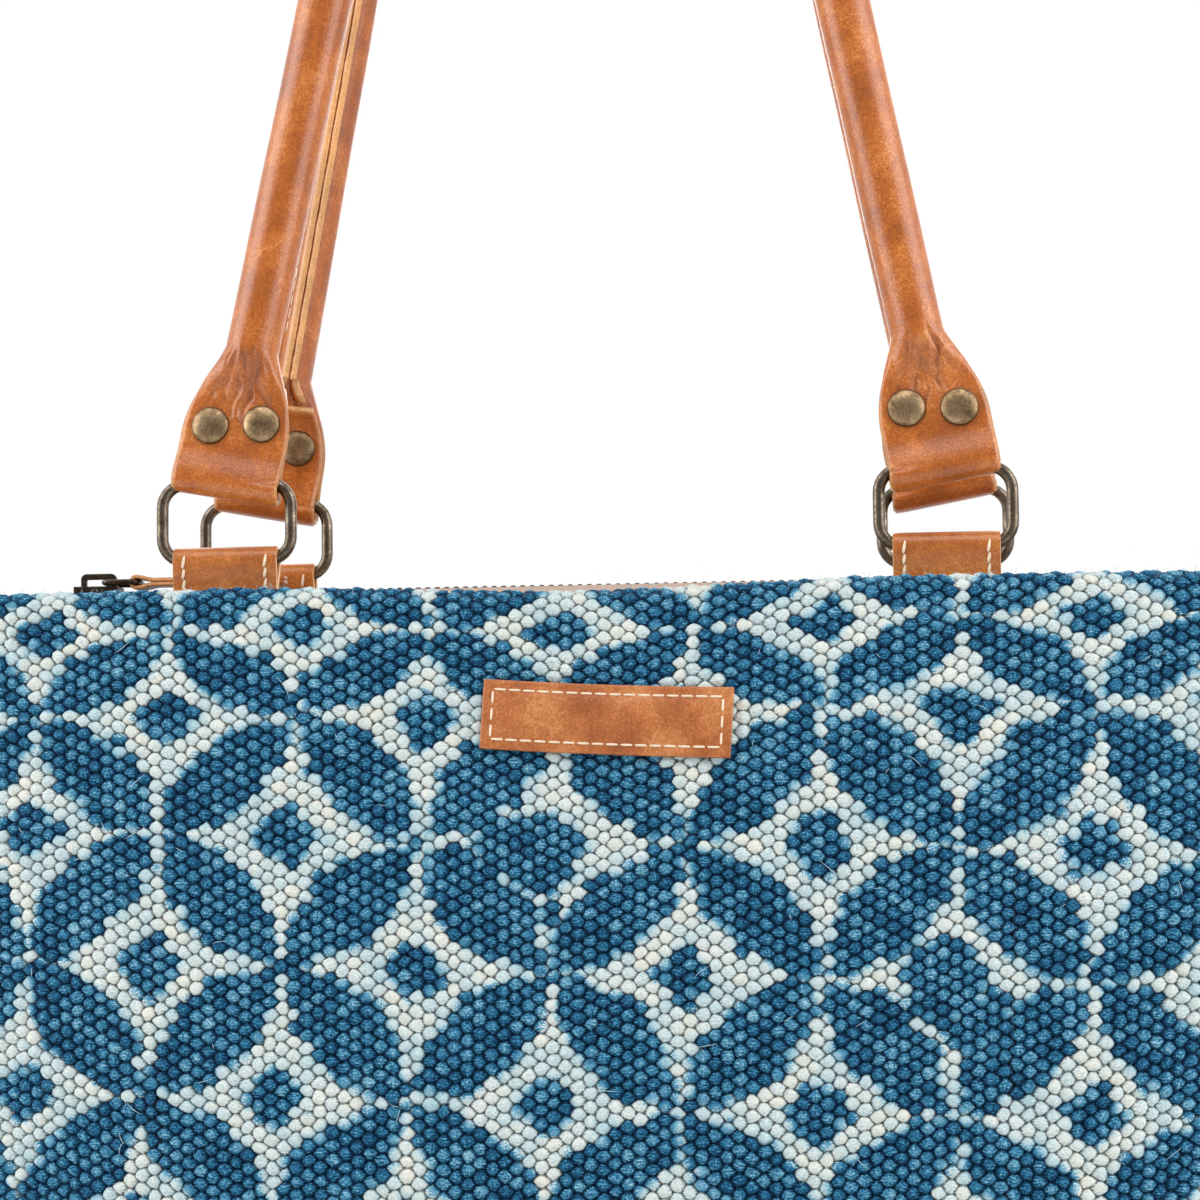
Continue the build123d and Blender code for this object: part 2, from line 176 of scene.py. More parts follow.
# Cloth body: thick handwoven cotton rug cloth, whose fat weft shows as a bead over every second warp thread.
# One length is drawn round the bag, turned in at the mouth as a hem and turned under at the base,
# where a flat piece of the same cloth is sewn in.
bag_low, bag_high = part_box("front_panel")
bag_height = bag_high[2]
mouth_half_width = bag_high[0]
base_half_width = 160 * mm
widening_power = 1.15
base_half_depth = 58 * mm
belly_half_depth = 66 * mm
mouth_half_depth = 38 * mm
end_power = 5
base_tip_power = 2.2
mouth_tip_power = 1.8
cloth_thickness = 3.6 * mm
base_edge_radius = 14 * mm
turn_in_length = 8 * mm
turn_under_length = 8 * mm
mouth_sag = 2.3 * mm
sag_half_span = 88 * mm
sag_power = 5
columns_around = 276
end_columns = 35
row_pitch = 3.55 * mm
row_wave_height = 0.55 * mm
row_waves = ((11, 43 * mm), (5, -61 * mm))
chance = np.random.default_rng(7)


def outline_quarter(level, inset, steps):
    """A quarter of the bag's outline at one level, from front middle to right side, and its length."""
    share = level / bag_height
    rest = 1 - share
    width = base_half_width + (mouth_half_width - base_half_width) * share**widening_power - inset
    depth = base_half_depth * rest**2 + 2 * belly_half_depth * share * rest + mouth_half_depth * share**2
    depth -= inset
    tip_power = mouth_tip_power + (base_tip_power - mouth_tip_power) * rest
    turn = np.linspace(0, math.pi / 2, 6 * steps)
    x = width * np.sin(turn)
    y = -depth * np.maximum(0, 1 - (x / width) ** end_power) ** (1 / tip_power)
    run = np.concatenate([[0], np.cumsum(np.hypot(np.diff(x), np.diff(y)))])
    even = np.linspace(0, run[-1], steps + 1)
    return np.interp(even, run, x), np.interp(even, run, y), run[-1]


# Slack: how far the cloth waves, pulls in at the side seams and folds beside them
drape_wave = 31 * mm
drape_wander = 57 * mm
sag_wave = 38 * mm
sag_drift = 83 * mm
ripple_wave = 19 * mm
ripple_drift = 47 * mm
wave_push = 1.9 * mm
taut_top_share = 0.22
taut_foot_share = 0.12
join_share = 0.06
seam_pull = 2.2 * mm
seam_pull_width = 4 * mm
seam_relief_share = 0.05
seam_mouth_share = 0.25
side_folds = ((3.2 * mm, 52 * mm, 16 * mm), (-2.6 * mm, 27 * mm, 11 * mm))
bead_stand = 0.8 * mm


def soft_waves(across, down):
    """Slow unevenness of slack cloth, between about -1 and 1."""
    waves = np.sin(across / drape_wave + 1.3 * np.sin(down / drape_wander) + 0.4)
    waves += 0.8 * np.sin(down / sag_wave - across / sag_drift + 2.1)
    waves += 0.6 * np.sin(across / ripple_wave + down / ripple_drift + 4.4)
    return waves / 2.4


# The cloth's path from inside the hem, over the mouth's edge, down the face and round under the base
turn_radius = cloth_thickness
crest_arc = turn_radius * math.pi / 2
face_start = crest_arc
face_length = bag_height - turn_radius - base_edge_radius
edge_start = face_start + face_length
edge_arc = base_edge_radius * math.pi / 2
path_start = -crest_arc - turn_in_length
path_end = edge_start + edge_arc + turn_under_length
quarter_steps = 90
path_steps = 380
path_down = np.linspace(path_start, path_end, path_steps + 1)
path_round = np.zeros(path_steps + 1)
grid_places = np.zeros((path_steps + 1, 4 * quarter_steps + 1, 3))
for step, down in enumerate(path_down):
    if down < face_start:
        turn = np.clip((down + crest_arc) / turn_radius, 0, math.pi)
        level = bag_height - turn_radius + turn_radius * math.sin(turn) - max(0, -crest_arc - down)
        inset = turn_radius * (1 + math.cos(turn))
    elif down < edge_start:
        level = bag_height - turn_radius - (down - face_start)
        inset = 0
    else:
        turn = min((down - edge_start) / base_edge_radius, math.pi / 2)
        level = base_edge_radius * (1 - math.sin(turn))
        inset = base_edge_radius * (1 - math.cos(turn)) + max(0, down - edge_start - edge_arc)
    x, y, length = outline_quarter(min(level, bag_height), inset, quarter_steps)
    grid_places[step, :, 0] = np.concatenate([x, x[-2::-1], -x[1:], -x[-2::-1]])
    grid_places[step, :, 1] = np.concatenate([y, -y[-2::-1], -y[1:], y[-2::-1]])
    grid_places[step, :, 2] = max(level, bead_stand)
    path_round[step] = 4 * length
mouth_round = 4 * outline_quarter(bag_height, 0, quarter_steps)[2]


def grid_normals(places):
    around = np.roll(places[:, :-1], -1, axis=1) - np.roll(places[:, :-1], 1, axis=1)
    along = np.gradient(places[:, :-1], axis=0)
    normals = np.cross(along, around)
    normals /= np.linalg.norm(normals, axis=2, keepdims=True)
    return np.concatenate([normals, normals[:, :1]], axis=1)


# The mouth dips between the loops, the faces wave a little, and the side seams pull in
share_around = np.linspace(0, 1, 4 * quarter_steps + 1)[None, :]
levels = grid_places[:, :, 2] / bag_height
slack = np.clip((1 - levels) / taut_top_share, 0, 1) * np.clip(levels / taut_foot_share, 0, 1)
everywhere = np.ones_like(levels)
waves = soft_waves(share_around * mouth_round * everywhere, path_down[:, None] * everywhere)
ends_blend = np.clip(np.minimum(share_around, 1 - share_around) / join_share, 0, 1)
push = wave_push * waves * slack * ends_blend
seam_distance = np.minimum(abs(share_around - 0.25), abs(share_around - 0.75)) * mouth_round
seam_hold = np.clip((1 - levels) / seam_relief_share, seam_mouth_share, 1)
push -= seam_pull * np.exp(-((seam_distance / seam_pull_width) ** 2)) * seam_hold
for fold_rise, fold_distance, fold_width in side_folds:
    fold = np.exp(-(((seam_distance - fold_distance) / fold_width) ** 2))
    push += fold_rise * fold * slack * np.clip(1 - levels, 0, 1)
grid_places += grid_normals(grid_places) * push[:, :, None]
dip = 0.5 + 0.5 * np.cos(math.pi * np.clip(grid_places[:, :, 0] / sag_half_span, -1, 1))
grid_places[:, :, 2] -= mouth_sag * dip * levels**sag_power
grid_outward = grid_normals(grid_places)


def cloth_at(around, down):
    """Places and outward normals on the cloth: around in turns from the front middle, down from the mouth."""
    column = np.mod(around, 1) * 4 * quarter_steps
    row = np.clip((down - path_start) / (path_end - path_start), 0, 1) * path_steps
    column_low = np.minimum(column.astype(int), 4 * quarter_steps - 1)
    row_low = np.minimum(row.astype(int), path_steps - 1)
    column_part = (column - column_low)[..., None]
    row_part = (row - row_low)[..., None]
    found = []
    for grid in (grid_places, grid_outward):
        upper = grid[row_low, column_low] * (1 - column_part) + grid[row_low, column_low + 1] * column_part
        below = row_low + 1
        lower = grid[below, column_low] * (1 - column_part) + grid[below, column_low + 1] * column_part
        found.append(upper * (1 - row_part) + lower * row_part)
    return found[0], found[1] / np.linalg.norm(found[1], axis=-1, keepdims=True)


# Beads: how deep the pits and gaps between them are, how high they rise, and how far each one strays
pit_depth = 1.45 * mm
gap_depth = 0.6 * mm
bead_shoulder = 0.1 * mm
bead_rise = 0.5 * mm
corner_lift = 0.25 * mm
edge_lift = 0.3 * mm
bead_lift = 0.25 * mm
bead_tilt = 0.16 * mm
tilt_shares = np.array([[1.0, 0.5, -0.5, -1.0, -0.5, 0.5]])
corner_near = 0.27
corner_wander = 0.13
corner_row_share = 1.4
edge_wander = 0.07
bead_wander = 0.1
bead_row_share = 1.5
ring_share = 0.66
ring_wander = 0.06
ring_lift_share = 0.7
edge_crown = 0.24
ring_crown = 0.78
bead_faces = 24
inner_wall_gap = 0.4 * mm
wall_columns = 24
wall_rows = 48
half_rows = 2 * int((path_end - path_start) / row_pitch)
corner_shift = chance.uniform(-1, 1, (columns_around, half_rows + 1, 3))
slant_shift = chance.uniform(-1, 1, (columns_around, half_rows + 1, 3))
level_shift = chance.uniform(-1, 1, (columns_around, half_rows + 1, 3))
bead_shift = chance.uniform(-1, 1, (columns_around, half_rows + 1, 5))


def lay_round(column, half_row, panel_middle):
    """Lays lattice places on the bag, their rows slightly wavy: where they are, their outward normals, and
    millimetres across and down the cloth."""
    around = column / columns_around
    down = path_start + half_row * row_pitch / 2
    wavy = sum(np.sin(2 * math.pi * turns * around + down / run) for turns, run in row_waves)
    down = down + row_wave_height * wavy
    places, outward = cloth_at(around, down)
    across = (around - panel_middle) * np.interp(down, path_down, path_round)
    return places, outward, np.stack([across, down, 0 * down], axis=1) / mm


def woven_cloth(name, first, last, panel_middle, lay=lay_round, rows=half_rows):
    """Columns of beads from first to last: six-sided pillows with pits at their corners, on a plain wall."""
    tall = rows + 1
    gap, height = np.meshgrid(np.arange(first - 1, last), np.arange(tall), indexing="ij")
    gap_index = gap - first + 1
    near = np.where((height - gap) % 2 == 0, 1 - corner_near, corner_near)
    shift = corner_shift[gap % columns_around, height]
    corner_column = gap + near + corner_wander * shift[..., 0]
    corner_row = height + corner_row_share * corner_wander * shift[..., 1]
    edge_parts = [(corner_column, corner_row, -pit_depth + corner_lift * shift[..., 2])]
    below = (gap_index, np.minimum(height + 1, rows))
    before = (np.maximum(gap_index - 1, 0), height)
    for shifts, other_end, row_share in ((slant_shift, below, 1), (level_shift, before, 2)):
        shift = shifts[gap % columns_around, height]
        edge_column = (corner_column + corner_column[other_end]) / 2 + edge_wander * shift[..., 0]
        edge_row = (corner_row + corner_row[other_end]) / 2 + row_share * edge_wander * shift[..., 1]
        edge_parts.append((edge_column, edge_row, -gap_depth + edge_lift * shift[..., 2]))
    flat_parts = [np.concatenate([part.ravel() for part in parts]) for parts in zip(*edge_parts)]
    edge_column, edge_row, edge_height = flat_parts
    column, row = np.meshgrid(np.arange(first, last), np.arange(1, rows), indexing="ij")
    kept = (row - column) % 2 == 0
    column = column[kept]
    row = row[kept]
    wander = bead_shift[column % columns_around, row]
    middle_column = column + bead_wander * wander[:, 0]
    middle_row = row + bead_row_share * bead_wander * wander[:, 1]
    middle_height = bead_rise + bead_lift * wander[:, 2]
    size = gap.size
    right = (column - first + 1) * tall + row
    left = right - tall
    corners = np.stack([right, right - 1, left - 1, left, left + 1, right + 1], axis=1)
    slants = [right + size - 1, left + size - 1, left + size, right + size]
    flats = [right + 2 * size - 1, right + 2 * size + 1]
    edges = np.stack([slants[0], flats[0], slants[1], slants[2], flats[1], slants[3]], axis=1)
    own_share = (ring_share + ring_wander * wander[:, 3])[:, None]
    ring_column = middle_column[:, None] + own_share * (edge_column[corners] - middle_column[:, None])
    ring_row = middle_row[:, None] + own_share * (edge_row[corners] - middle_row[:, None])
    ring_height = (bead_shoulder + ring_lift_share * (middle_height - bead_rise))[:, None]
    ring_height = ring_height + bead_tilt * wander[:, 4:5] * tilt_shares
    all_column = np.concatenate([edge_column, ring_column.ravel(), middle_column])
    all_row = np.concatenate([edge_row, ring_row.ravel(), middle_row])
    all_height = np.concatenate([edge_height, ring_height.ravel(), middle_height])
    places, outward, printed = lay(all_column, all_row, panel_middle)
    places = places + outward * all_height[:, None]
    count = len(column)
    ring_start = 3 * size
    ring = ring_start + np.arange(6 * count).reshape(count, 6)
    middle = ring_start + 6 * count + np.arange(count)
    faces = []
    for side in range(6):
        after = (side + 1) % 6
        faces.append(np.stack([corners[:, side], edges[:, side], ring[:, side]], axis=1))
        faces.append(np.stack([edges[:, side], ring[:, after], ring[:, side]], axis=1))
        faces.append(np.stack([edges[:, side], corners[:, after], ring[:, after]], axis=1))
        faces.append(np.stack([ring[:, side], ring[:, after], middle], axis=1))
    used = np.zeros(len(places), dtype=bool)
    used[corners.ravel()] = True
    used[edges.ravel()] = True
    used[ring_start:] = True
    order = np.cumsum(used) - 1
    wall_across = np.linspace(first - 0.5, last - 0.5, wall_columns)
    wall_column, wall_row = np.meshgrid(wall_across, np.linspace(1, rows - 1, wall_rows), indexing="ij")
    wall_places, wall_outward, wall_printed = lay(wall_column.ravel(), wall_row.ravel(), panel_middle)
    wall_places = wall_places - wall_outward * (cloth_thickness - inner_wall_gap)
    wall_faces = grid_faces(wall_columns, wall_rows, int(used.sum()))
    outer_faces = order[np.concatenate(faces)].tolist()
    piece = new_piece(name, np.concatenate([places[used], wall_places]), outer_faces + wall_faces)
    give_values(piece, "cloth", np.concatenate([printed[used], wall_printed]), "FLOAT_VECTOR")
    crown = [np.zeros(size), np.full(2 * size, edge_crown), np.full(6 * count, ring_crown), np.ones(count)]
    give_values(piece, "crown", np.concatenate([np.concatenate(crown)[used], np.zeros(len(wall_places))]))
    bead = lay(middle_column, middle_row, panel_middle)[2]
    bead[:, 2] = wander[:, 3]
    bead = np.concatenate([np.tile(bead, (bead_faces, 1)), np.zeros((len(wall_faces), 3))])
    give_values(piece, "bead", bead, "FLOAT_VECTOR", "FACE")
    select_only(piece)
    bpy.ops.object.mode_set(mode="EDIT")
    bpy.ops.mesh.select_mode(type="EDGE")
    bpy.ops.mesh.select_all(action="DESELECT")
    bpy.ops.mesh.select_non_manifold()
    bpy.ops.mesh.bridge_edge_loops()
    bpy.ops.object.mode_set(mode="OBJECT")
    face_outward(piece)
    return piece


# Block-printed cotton: matt and a little hairy, indigo pressed on by hand with a wooden block, so the dye
# is uneven, fades where it missed a bead, stains the bare cotton and lies darkest in the gaps of the weave.
# The gaps also carry painted shade: grey on the bare cotton, and on the dyed cotton a deep indigo that is
# partly dye and partly shade.
# Sizes are in millimetres of cloth, and a range is what a value runs between, and what that becomes.
cotton_stops = ((0.22, rgb("#C4D9E0")), (0.5, rgb("#E6EBE5")), (0.8, rgb("#EAE6D6")))
dye_stops = (
    (0.2, rgb("#B4D2DA")),
    (0.42, rgb("#6DAAC6")),
    (0.64, rgb("#317DA4")),
    (0.82, rgb("#165980")),
    (1.0, rgb("#053354")),
)
# Painted shade in the gaps and pits between beads: grey on bare cotton, deep indigo on dyed cotton
gap_shade_grey = rgb("#3E4443")
gap_indigo_shade = rgb("#03243C")
print_width = 69.0
print_height = 67.0
first_row_height = 46.0
print_node_across = -74.5
print_node_down = 36.0
print_slope = 0.03
petal_reach = 0.709
petal_point = 1.045
diamond_half = 0.142
diamond_power = 4.0
overprints = (
    (-18.0, 70.0, 9.5),
    (-9.0, 76.0, 7.0),
    (-10.0, 88.0, 4.5),
    (94.0, 106.0, 11.0),
    (102.0, 117.0, 8.5),
)
fibre_length = 1.3
fibre_width = 0.42
fibre_range = (0.25, 0.75, -1.0, 1.0)
fibre_depth = 0.16 * mm
speck_size = 0.5
speck_range = (0.3, 0.7, -1.0, 1.0)
speck_share = 0.75
bead_step_share = 0.5
smear_size = 14
smear_reach = 6.0
fray_range = (0.0, 1.0, -0.034, 0.026)
fray_fibre = 0.021
dye_edge = (-0.02, 0.012)
miss_size = 9
miss_range = (0.54, 0.78, 1.0, 0.5)
stain_size = 10
stain_reach = (-0.16, 0.0, 0.0, 0.42)
stain_range = (0.4, 0.72)
tone_size = 12
tone_bead_share = 0.4
tone_range = (0.28, 0.72, 0.7, 1.02)
# Partly wear and partly painted shade: how the dye fades on bead crowns and deepens towards the gaps
wear_and_shade_range = (0.3, 1.0, 0.1, -0.26)
wear_fibre = -0.3
shade_size = 23
shade_bead_share = 0.4
shade_fibre = 0.26
gap_fibre = 0.2
gap_reach_range = (0.0, 1.0, 0.54, 1.0)
gap_range = (0.1, 1.0)
glint_fibre = 0.06
printed_cotton, add_node = new_material("block_printed_cotton")
cloth_place = add_node("Attribute", attribute_name="cloth")["Vector"]
bead_place = add_node("Attribute", attribute_name="bead")["Vector"]
crown = add_node("Attribute", attribute_name="crown")["Fac"]
fibre = add_node("Mapping", cloth_place, sockets={"Scale": (1 / fibre_length, 1 / fibre_width, 1.0)})[0]
fibre = add_node("TexNoise", fibre, sockets={"Scale": 1.0, "Detail": 3.0, "Roughness": 0.6})["Fac"]
fibre = add_node("MapRange", fibre, *fibre_range)[0]
speck = add_node(
    "TexNoise", cloth_place, sockets={"Scale": 1 / speck_size, "Detail": 2.0, "Roughness": 0.6}
)["Fac"]
speck = add_node("MapRange", speck, *speck_range)[0]
fibre = add_node("Math", speck, speck_share, fibre, operation="MULTIPLY_ADD")[0]
halfway = {0: bead_step_share, 4: cloth_place, 5: bead_place}
stepped = add_node("Mix", sockets=halfway, data_type="VECTOR", factor_mode="UNIFORM")[1]
smear = add_node("TexNoise", cloth_place, sockets={"Scale": 1 / smear_size, "Detail": 2.0})["Color"]
smear = add_node("VectorMath", smear, (0.5, 0.5, 0.5), operation="SUBTRACT")[0]
smear = add_node("VectorMath", smear, sockets={"Scale": smear_reach}, operation="SCALE")[0]
printed_place = add_node("VectorMath", stepped, smear, operation="ADD")[0]
right, down, _ = add_node("SeparateXYZ", printed_place)
below_node = add_node("Math", down, -print_node_down, operation="ADD")[0]
print_u = add_node("Math", below_node, print_slope, right, operation="MULTIPLY_ADD")[0]
print_u = add_node("Math", print_u, -print_node_across, operation="ADD")[0]
print_u = add_node("Math", print_u, print_width, operation="DIVIDE")[0]
slope = add_node("MapRange", below_node, 0.0, print_height / 2, 0.0, -print_slope)[0]
below_node = add_node("Math", right, slope, below_node, operation="MULTIPLY_ADD")[0]
print_v = add_node("Math", below_node, print_height, operation="DIVIDE")[0]
first_v = add_node("Math", below_node, first_row_height, operation="DIVIDE")[0]
print_v = add_node("Math", print_v, first_v, operation="MINIMUM")[0]
folds = []
for operation in ("ADD", "SUBTRACT"):
    line = add_node("Math", print_u, print_v, operation=operation)[0]
    line = add_node("Math", line, operation="FRACT")[0]
    line = add_node("Math", line, 0.5, operation="SUBTRACT")[0]
    folds.append(add_node("Math", line, operation="ABSOLUTE")[0])
lesser = add_node("Math", *folds, operation="MINIMUM")[0]
greater = add_node("Math", *folds, operation="MAXIMUM")[0]
greater = add_node("Math", 1.0, greater, operation="SUBTRACT")[0]
lesser = add_node("Math", lesser, petal_point, operation="MULTIPLY")[0]
reach = add_node("CombineXYZ", lesser, greater)[0]
reach = add_node("VectorMath", reach, operation="LENGTH")["Value"]
petal = add_node("Math", petal_reach, reach, operation="SUBTRACT")[0]
corner_powers = [add_node("Math", fold, diamond_power, operation="POWER")[0] for fold in folds]
diamond = add_node("Math", *corner_powers, operation="ADD")[0]
diamond = add_node("Math", diamond, 1 / diamond_power, operation="POWER")[0]
diamond = add_node("Math", diamond_half, diamond, operation="SUBTRACT")[0]
block = add_node("Math", petal, diamond, operation="MAXIMUM")[0]
for across, below, radius in overprints:
    blot = add_node("VectorMath", printed_place, (across, below, 0.0), operation="DISTANCE")["Value"]
    blot = add_node("Math", blot, -1 / print_width, radius / print_width, operation="MULTIPLY_ADD")[0]
    block = add_node("Math", block, blot, operation="MAXIMUM")[0]
bead_luck = add_node("TexWhiteNoise", bead_place, noise_dimensions="3D")["Value"]
frayed = add_node("MapRange", bead_luck, *fray_range)[0]
frayed = add_node("Math", block, frayed, operation="ADD")[0]
frayed = add_node("Math", fibre, fray_fibre, frayed, operation="MULTIPLY_ADD")[0]
dye = add_node("MapRange", frayed, *dye_edge, interpolation_type="SMOOTHSTEP")[0]
missed = add_node(
    "TexNoise", stepped, sockets={"Scale": 1 / miss_size, "Detail": 3.0, "Roughness": 0.65}
)["Fac"]
missed = add_node("MapRange", missed, *miss_range)[0]
dye = add_node("Math", dye, missed, operation="MULTIPLY")[0]
stain = add_node("MapRange", block, *stain_reach)[0]
blotches = add_node(
    "TexNoise", stepped, sockets={"Scale": 1 / stain_size, "Detail": 3.0, "Roughness": 0.6}
)["Fac"]
blotches = add_node("MapRange", blotches, *stain_range)[0]
stain = add_node("Math", stain, blotches, operation="MULTIPLY")[0]
dye = add_node("Math", dye, stain, operation="MAXIMUM")[0]
tone = add_node(
    "TexNoise", cloth_place, sockets={"Scale": 1 / tone_size, "Detail": 3.0, "Roughness": 0.6}
)["Fac"]
tone = add_node("Mix", sockets={0: tone_bead_share, 2: tone, 3: bead_luck}, data_type="FLOAT")[0]
strength = add_node("MapRange", tone, *tone_range)[0]
# Partly wear and partly painted shade: dyed beads are paler on their crowns and deeper in dye towards the
# gaps
worn_and_shaded = add_node("MapRange", crown, *wear_and_shade_range)[0]
worn_and_shaded = add_node("Math", fibre, wear_fibre, worn_and_shaded, operation="MULTIPLY_ADD")[0]
strength = add_node("Math", strength, worn_and_shaded, operation="ADD")[0]
depth_of_dye = add_node("Math", dye, strength, operation="MULTIPLY")[0]
shade = add_node("TexNoise", bead_place, sockets={"Scale": 1 / shade_size, "Detail": 2.0})["Fac"]
shade = add_node("Mix", sockets={0: shade_bead_share, 2: shade, 3: bead_luck}, data_type="FLOAT")[0]
shade = add_node("Math", fibre, shade_fibre, shade, operation="MULTIPLY_ADD")[0]
cotton = add_node("ValToRGB", shade, stops=cotton_stops)[0]
indigo = add_node("ValToRGB", depth_of_dye, stops=dye_stops)[0]
covered = add_node("MapRange", depth_of_dye, 0.0, dye_stops[0][0])[0]
dyed = add_node("Mix", sockets={0: covered, 6: cotton, 7: indigo}, data_type="RGBA")[2]
# Painted shade: where crown is low, in the gaps and pits between beads, the colour is drawn to the gap shade
# colours, reaching further up the bead where it is dyed
gap_shade = add_node("Math", fibre, gap_fibre, crown, operation="MULTIPLY_ADD")[0]
gap_reach = add_node("MapRange", dye, *gap_reach_range)[0]
gap_shade = add_node("MapRange", gap_shade, 0.0, gap_reach, *gap_range)[0]
gap_shade_colour = add_node("Mix", sockets={0: dye, 6: gap_shade_grey, 7: gap_indigo_shade}, data_type="RGBA")[2]
dyed = add_node("Mix", sockets={0: gap_shade, 6: gap_shade_colour, 7: dyed}, data_type="RGBA")[2]
glint = add_node("Math", fibre, glint_fibre, 1.0, operation="MULTIPLY_ADD")[0]
dyed = add_node("VectorMath", dyed, sockets={"Scale": glint}, operation="SCALE")[0]
nap = add_node("Bump", sockets={"Height": fibre, "Strength": 0.7, "Distance": fibre_depth})[0]
matt = {"Base Color": dyed, "Roughness": 0.92, "Normal": nap}
matt |= {"Specular IOR Level": 0.15, "Sheen Weight": 0.08}
add_node("OutputMaterial", add_node("BsdfPrincipled", sockets=matt)[0])

quarter_columns = columns_around // 4
half_round = 2 * quarter_columns
panel_half = quarter_columns - end_columns
body_cloths = (
    ("front_cloth", -panel_half, panel_half + 1, 0, "front_panel", "front_hem"),
    ("front_right_cloth", panel_half + 1, quarter_columns, 0),
    ("front_left_cloth", -quarter_columns, -panel_half, 0),
    ("back_cloth", half_round - panel_half, half_round + panel_half + 1, 0.5, "back_panel", "back_hem"),
    ("back_left_cloth", half_round + panel_half + 1, 3 * quarter_columns, 0.5),
    ("back_right_cloth", quarter_columns, half_round - panel_half, 0.5),
)
for name, first, last, panel_middle, *nodes in body_cloths:
    dress(woven_cloth(name, first, last, panel_middle), printed_cotton, "bag", "printed_cotton", *nodes)

# Base: a flat piece of the same printed cloth sewn inside the turned-under edge, so it stands a little off
# the ground. It is woven bead by bead like the body, in rows that run along the bag.
base_stand = 1.3 * mm
base_inset = 15 * mm
base_end_gap = 1 * mm
base_columns = 66
base_x, base_y, _ = outline_quarter(0, base_inset, quarter_steps)
base_half_length = base_x[-1] - base_end_gap
base_rows = 2 * int(-2 * base_y[0] / row_pitch)


def lay_flat(column, half_row, panel_middle):
    """Lays lattice places on the base, as lay_round does on the body."""
    x = base_half_length * (2 * (column + 0.5) / base_columns - 1)
    half_depth = np.interp(abs(x), base_x, -base_y)
    y = half_depth * (2 * half_row / base_rows - 1)
    places = np.stack([x, y, base_stand + 0 * x], axis=1)
    outward = np.zeros_like(places)
    outward[:, 2] = -1
    return places, outward, np.stack([x, y, 0 * x], axis=1) / mm


base_cloth = woven_cloth("base_cloth", 0, base_columns, 0, lay_flat, base_rows)
dress(base_cloth, printed_cotton, "bag", "printed_cotton", "base_panel")

# Loose fibres: single cotton hairs that the weaving and the wear have pulled out of the cloth, bowed over
# the beads and standing up along the mouth's edge.
fibre_count = 1450
mouth_fibres = 650
fibre_stations = 5
fibre_sides = 3
fibre_radius = 0.1 * mm
fibre_end_share = 0.35
fibre_bend = 1.6
mouth_band = (-4 * mm, 5 * mm)
mouth_hair = 0.7 * mm
mouth_hair_more = 1.3 * mm
mouth_hair_root = 0.3 * mm
mouth_hair_stand = 0.8
mouth_hair_lie = 0.5
face_hair = 1.6 * mm
face_hair_more = 6.5 * mm
face_hair_root = 0.35 * mm
face_hair_bow = 0.9 * mm
hairs = np.random.default_rng(11)
fibre_places = []
fibre_faces = []
share = np.linspace(0, 1, fibre_stations)
arch = np.sin(math.pi * share)
for hair in range(fibre_count):
    around, turn, luck, bow = hairs.uniform(0, 1, 4)
    if hair < mouth_fibres:
        start_down = hairs.uniform(*mouth_band)
        length = mouth_hair + mouth_hair_more * luck
        lie = mouth_hair_lie
        rise = mouth_hair_root + mouth_hair_stand * length * share
    else:
        start_down = hairs.uniform(face_start, edge_start)
        length = face_hair + face_hair_more * luck**3
        lie = 1
        rise = face_hair_root + face_hair_bow * bow * arch
    bend = 2 * math.pi * turn + fibre_bend * (bow - 0.5) * share
    step_length = lie * length / (fibre_stations - 1)
    side_run = np.concatenate([[0], np.cumsum(np.cos(bend))[:-1]]) * step_length
    down_run = np.concatenate([[0], np.cumsum(np.sin(bend))[:-1]]) * step_length
    line, outward = cloth_at(around + side_run / mouth_round, start_down + down_run)
    line = line + outward * rise[:, None]
    along = np.gradient(line, axis=0)
    along /= np.linalg.norm(along, axis=1, keepdims=True)
    beside = np.cross(along, outward)
    above = np.cross(beside, along)
    thin = fibre_radius * (fibre_end_share + (1 - fibre_end_share) * arch)
    fibre_faces += tube_faces(fibre_stations, fibre_sides, len(fibre_places))
    for station in range(fibre_stations):
        for side in range(fibre_sides):
            angle = 2 * math.pi * side / fibre_sides
            spoke = beside[station] * math.cos(angle) + above[station] * math.sin(angle)
            fibre_places.append(line[station] + spoke * thin[station])
loose_fibres = new_piece("loose_fibres", fibre_places, fibre_faces)
face_outward(loose_fibres)

# Single cotton fibre: pale, washed with a little indigo, quite matt
fibre_cotton, add_node = new_material("loose_cotton_fibre")
pale = {"Base Color": rgb("#B4CFDA"), "Roughness": 0.9, "Specular IOR Level": 0.2}
add_node("OutputMaterial", add_node("BsdfPrincipled", sockets=pale)[0])
dress(loose_fibres, fibre_cotton, "bag", "printed_cotton")

# Patch: a bare rectangle of tan leather with square-cut edges, sewn flat to the front along its border,
# so that it is a little domed inside the row of stitches.
patch_width = 65 * mm
patch_height = 18.4 * mm
patch_thickness = 1.6 * mm
patch_x = 7.5 * mm
patch_drop = 35.3 * mm
patch_turn = math.radians(3.4)
patch_stitch_inset = 2.6 * mm
patch_stand = 0.35 * mm
patch_dome = 0.5 * mm
patch_edge = 0.3 * mm
patch_steps_across = 52
patch_steps_up = 16
cut_edge_deg = 50
stitch_pitch = 3.8 * mm
stitch_length = 3.2 * mm
stitch_width = 0.62 * mm
stitch_rise = 0.1 * mm
stitch_sides = 6
stitch_profile = (
    (-0.5, 0.3, -0.55),
    (-0.4, 0.85, -0.1),
    (-0.15, 1.0, 0.0),
    (0.15, 1.0, 0.0),
    (0.4, 0.85, -0.1),
    (0.5, 0.3, -0.55),
)
half_across = patch_width / 2 - patch_stitch_inset
half_up = patch_height / 2 - patch_stitch_inset


def on_front(x, z):
    """Places and outward normals on the front of the cloth at given x and z."""
    rounds = np.array([4 * outline_quarter(level, 0, quarter_steps)[2] for level in z])
    return cloth_at(x / rounds, face_start + bag_height - turn_radius - z)


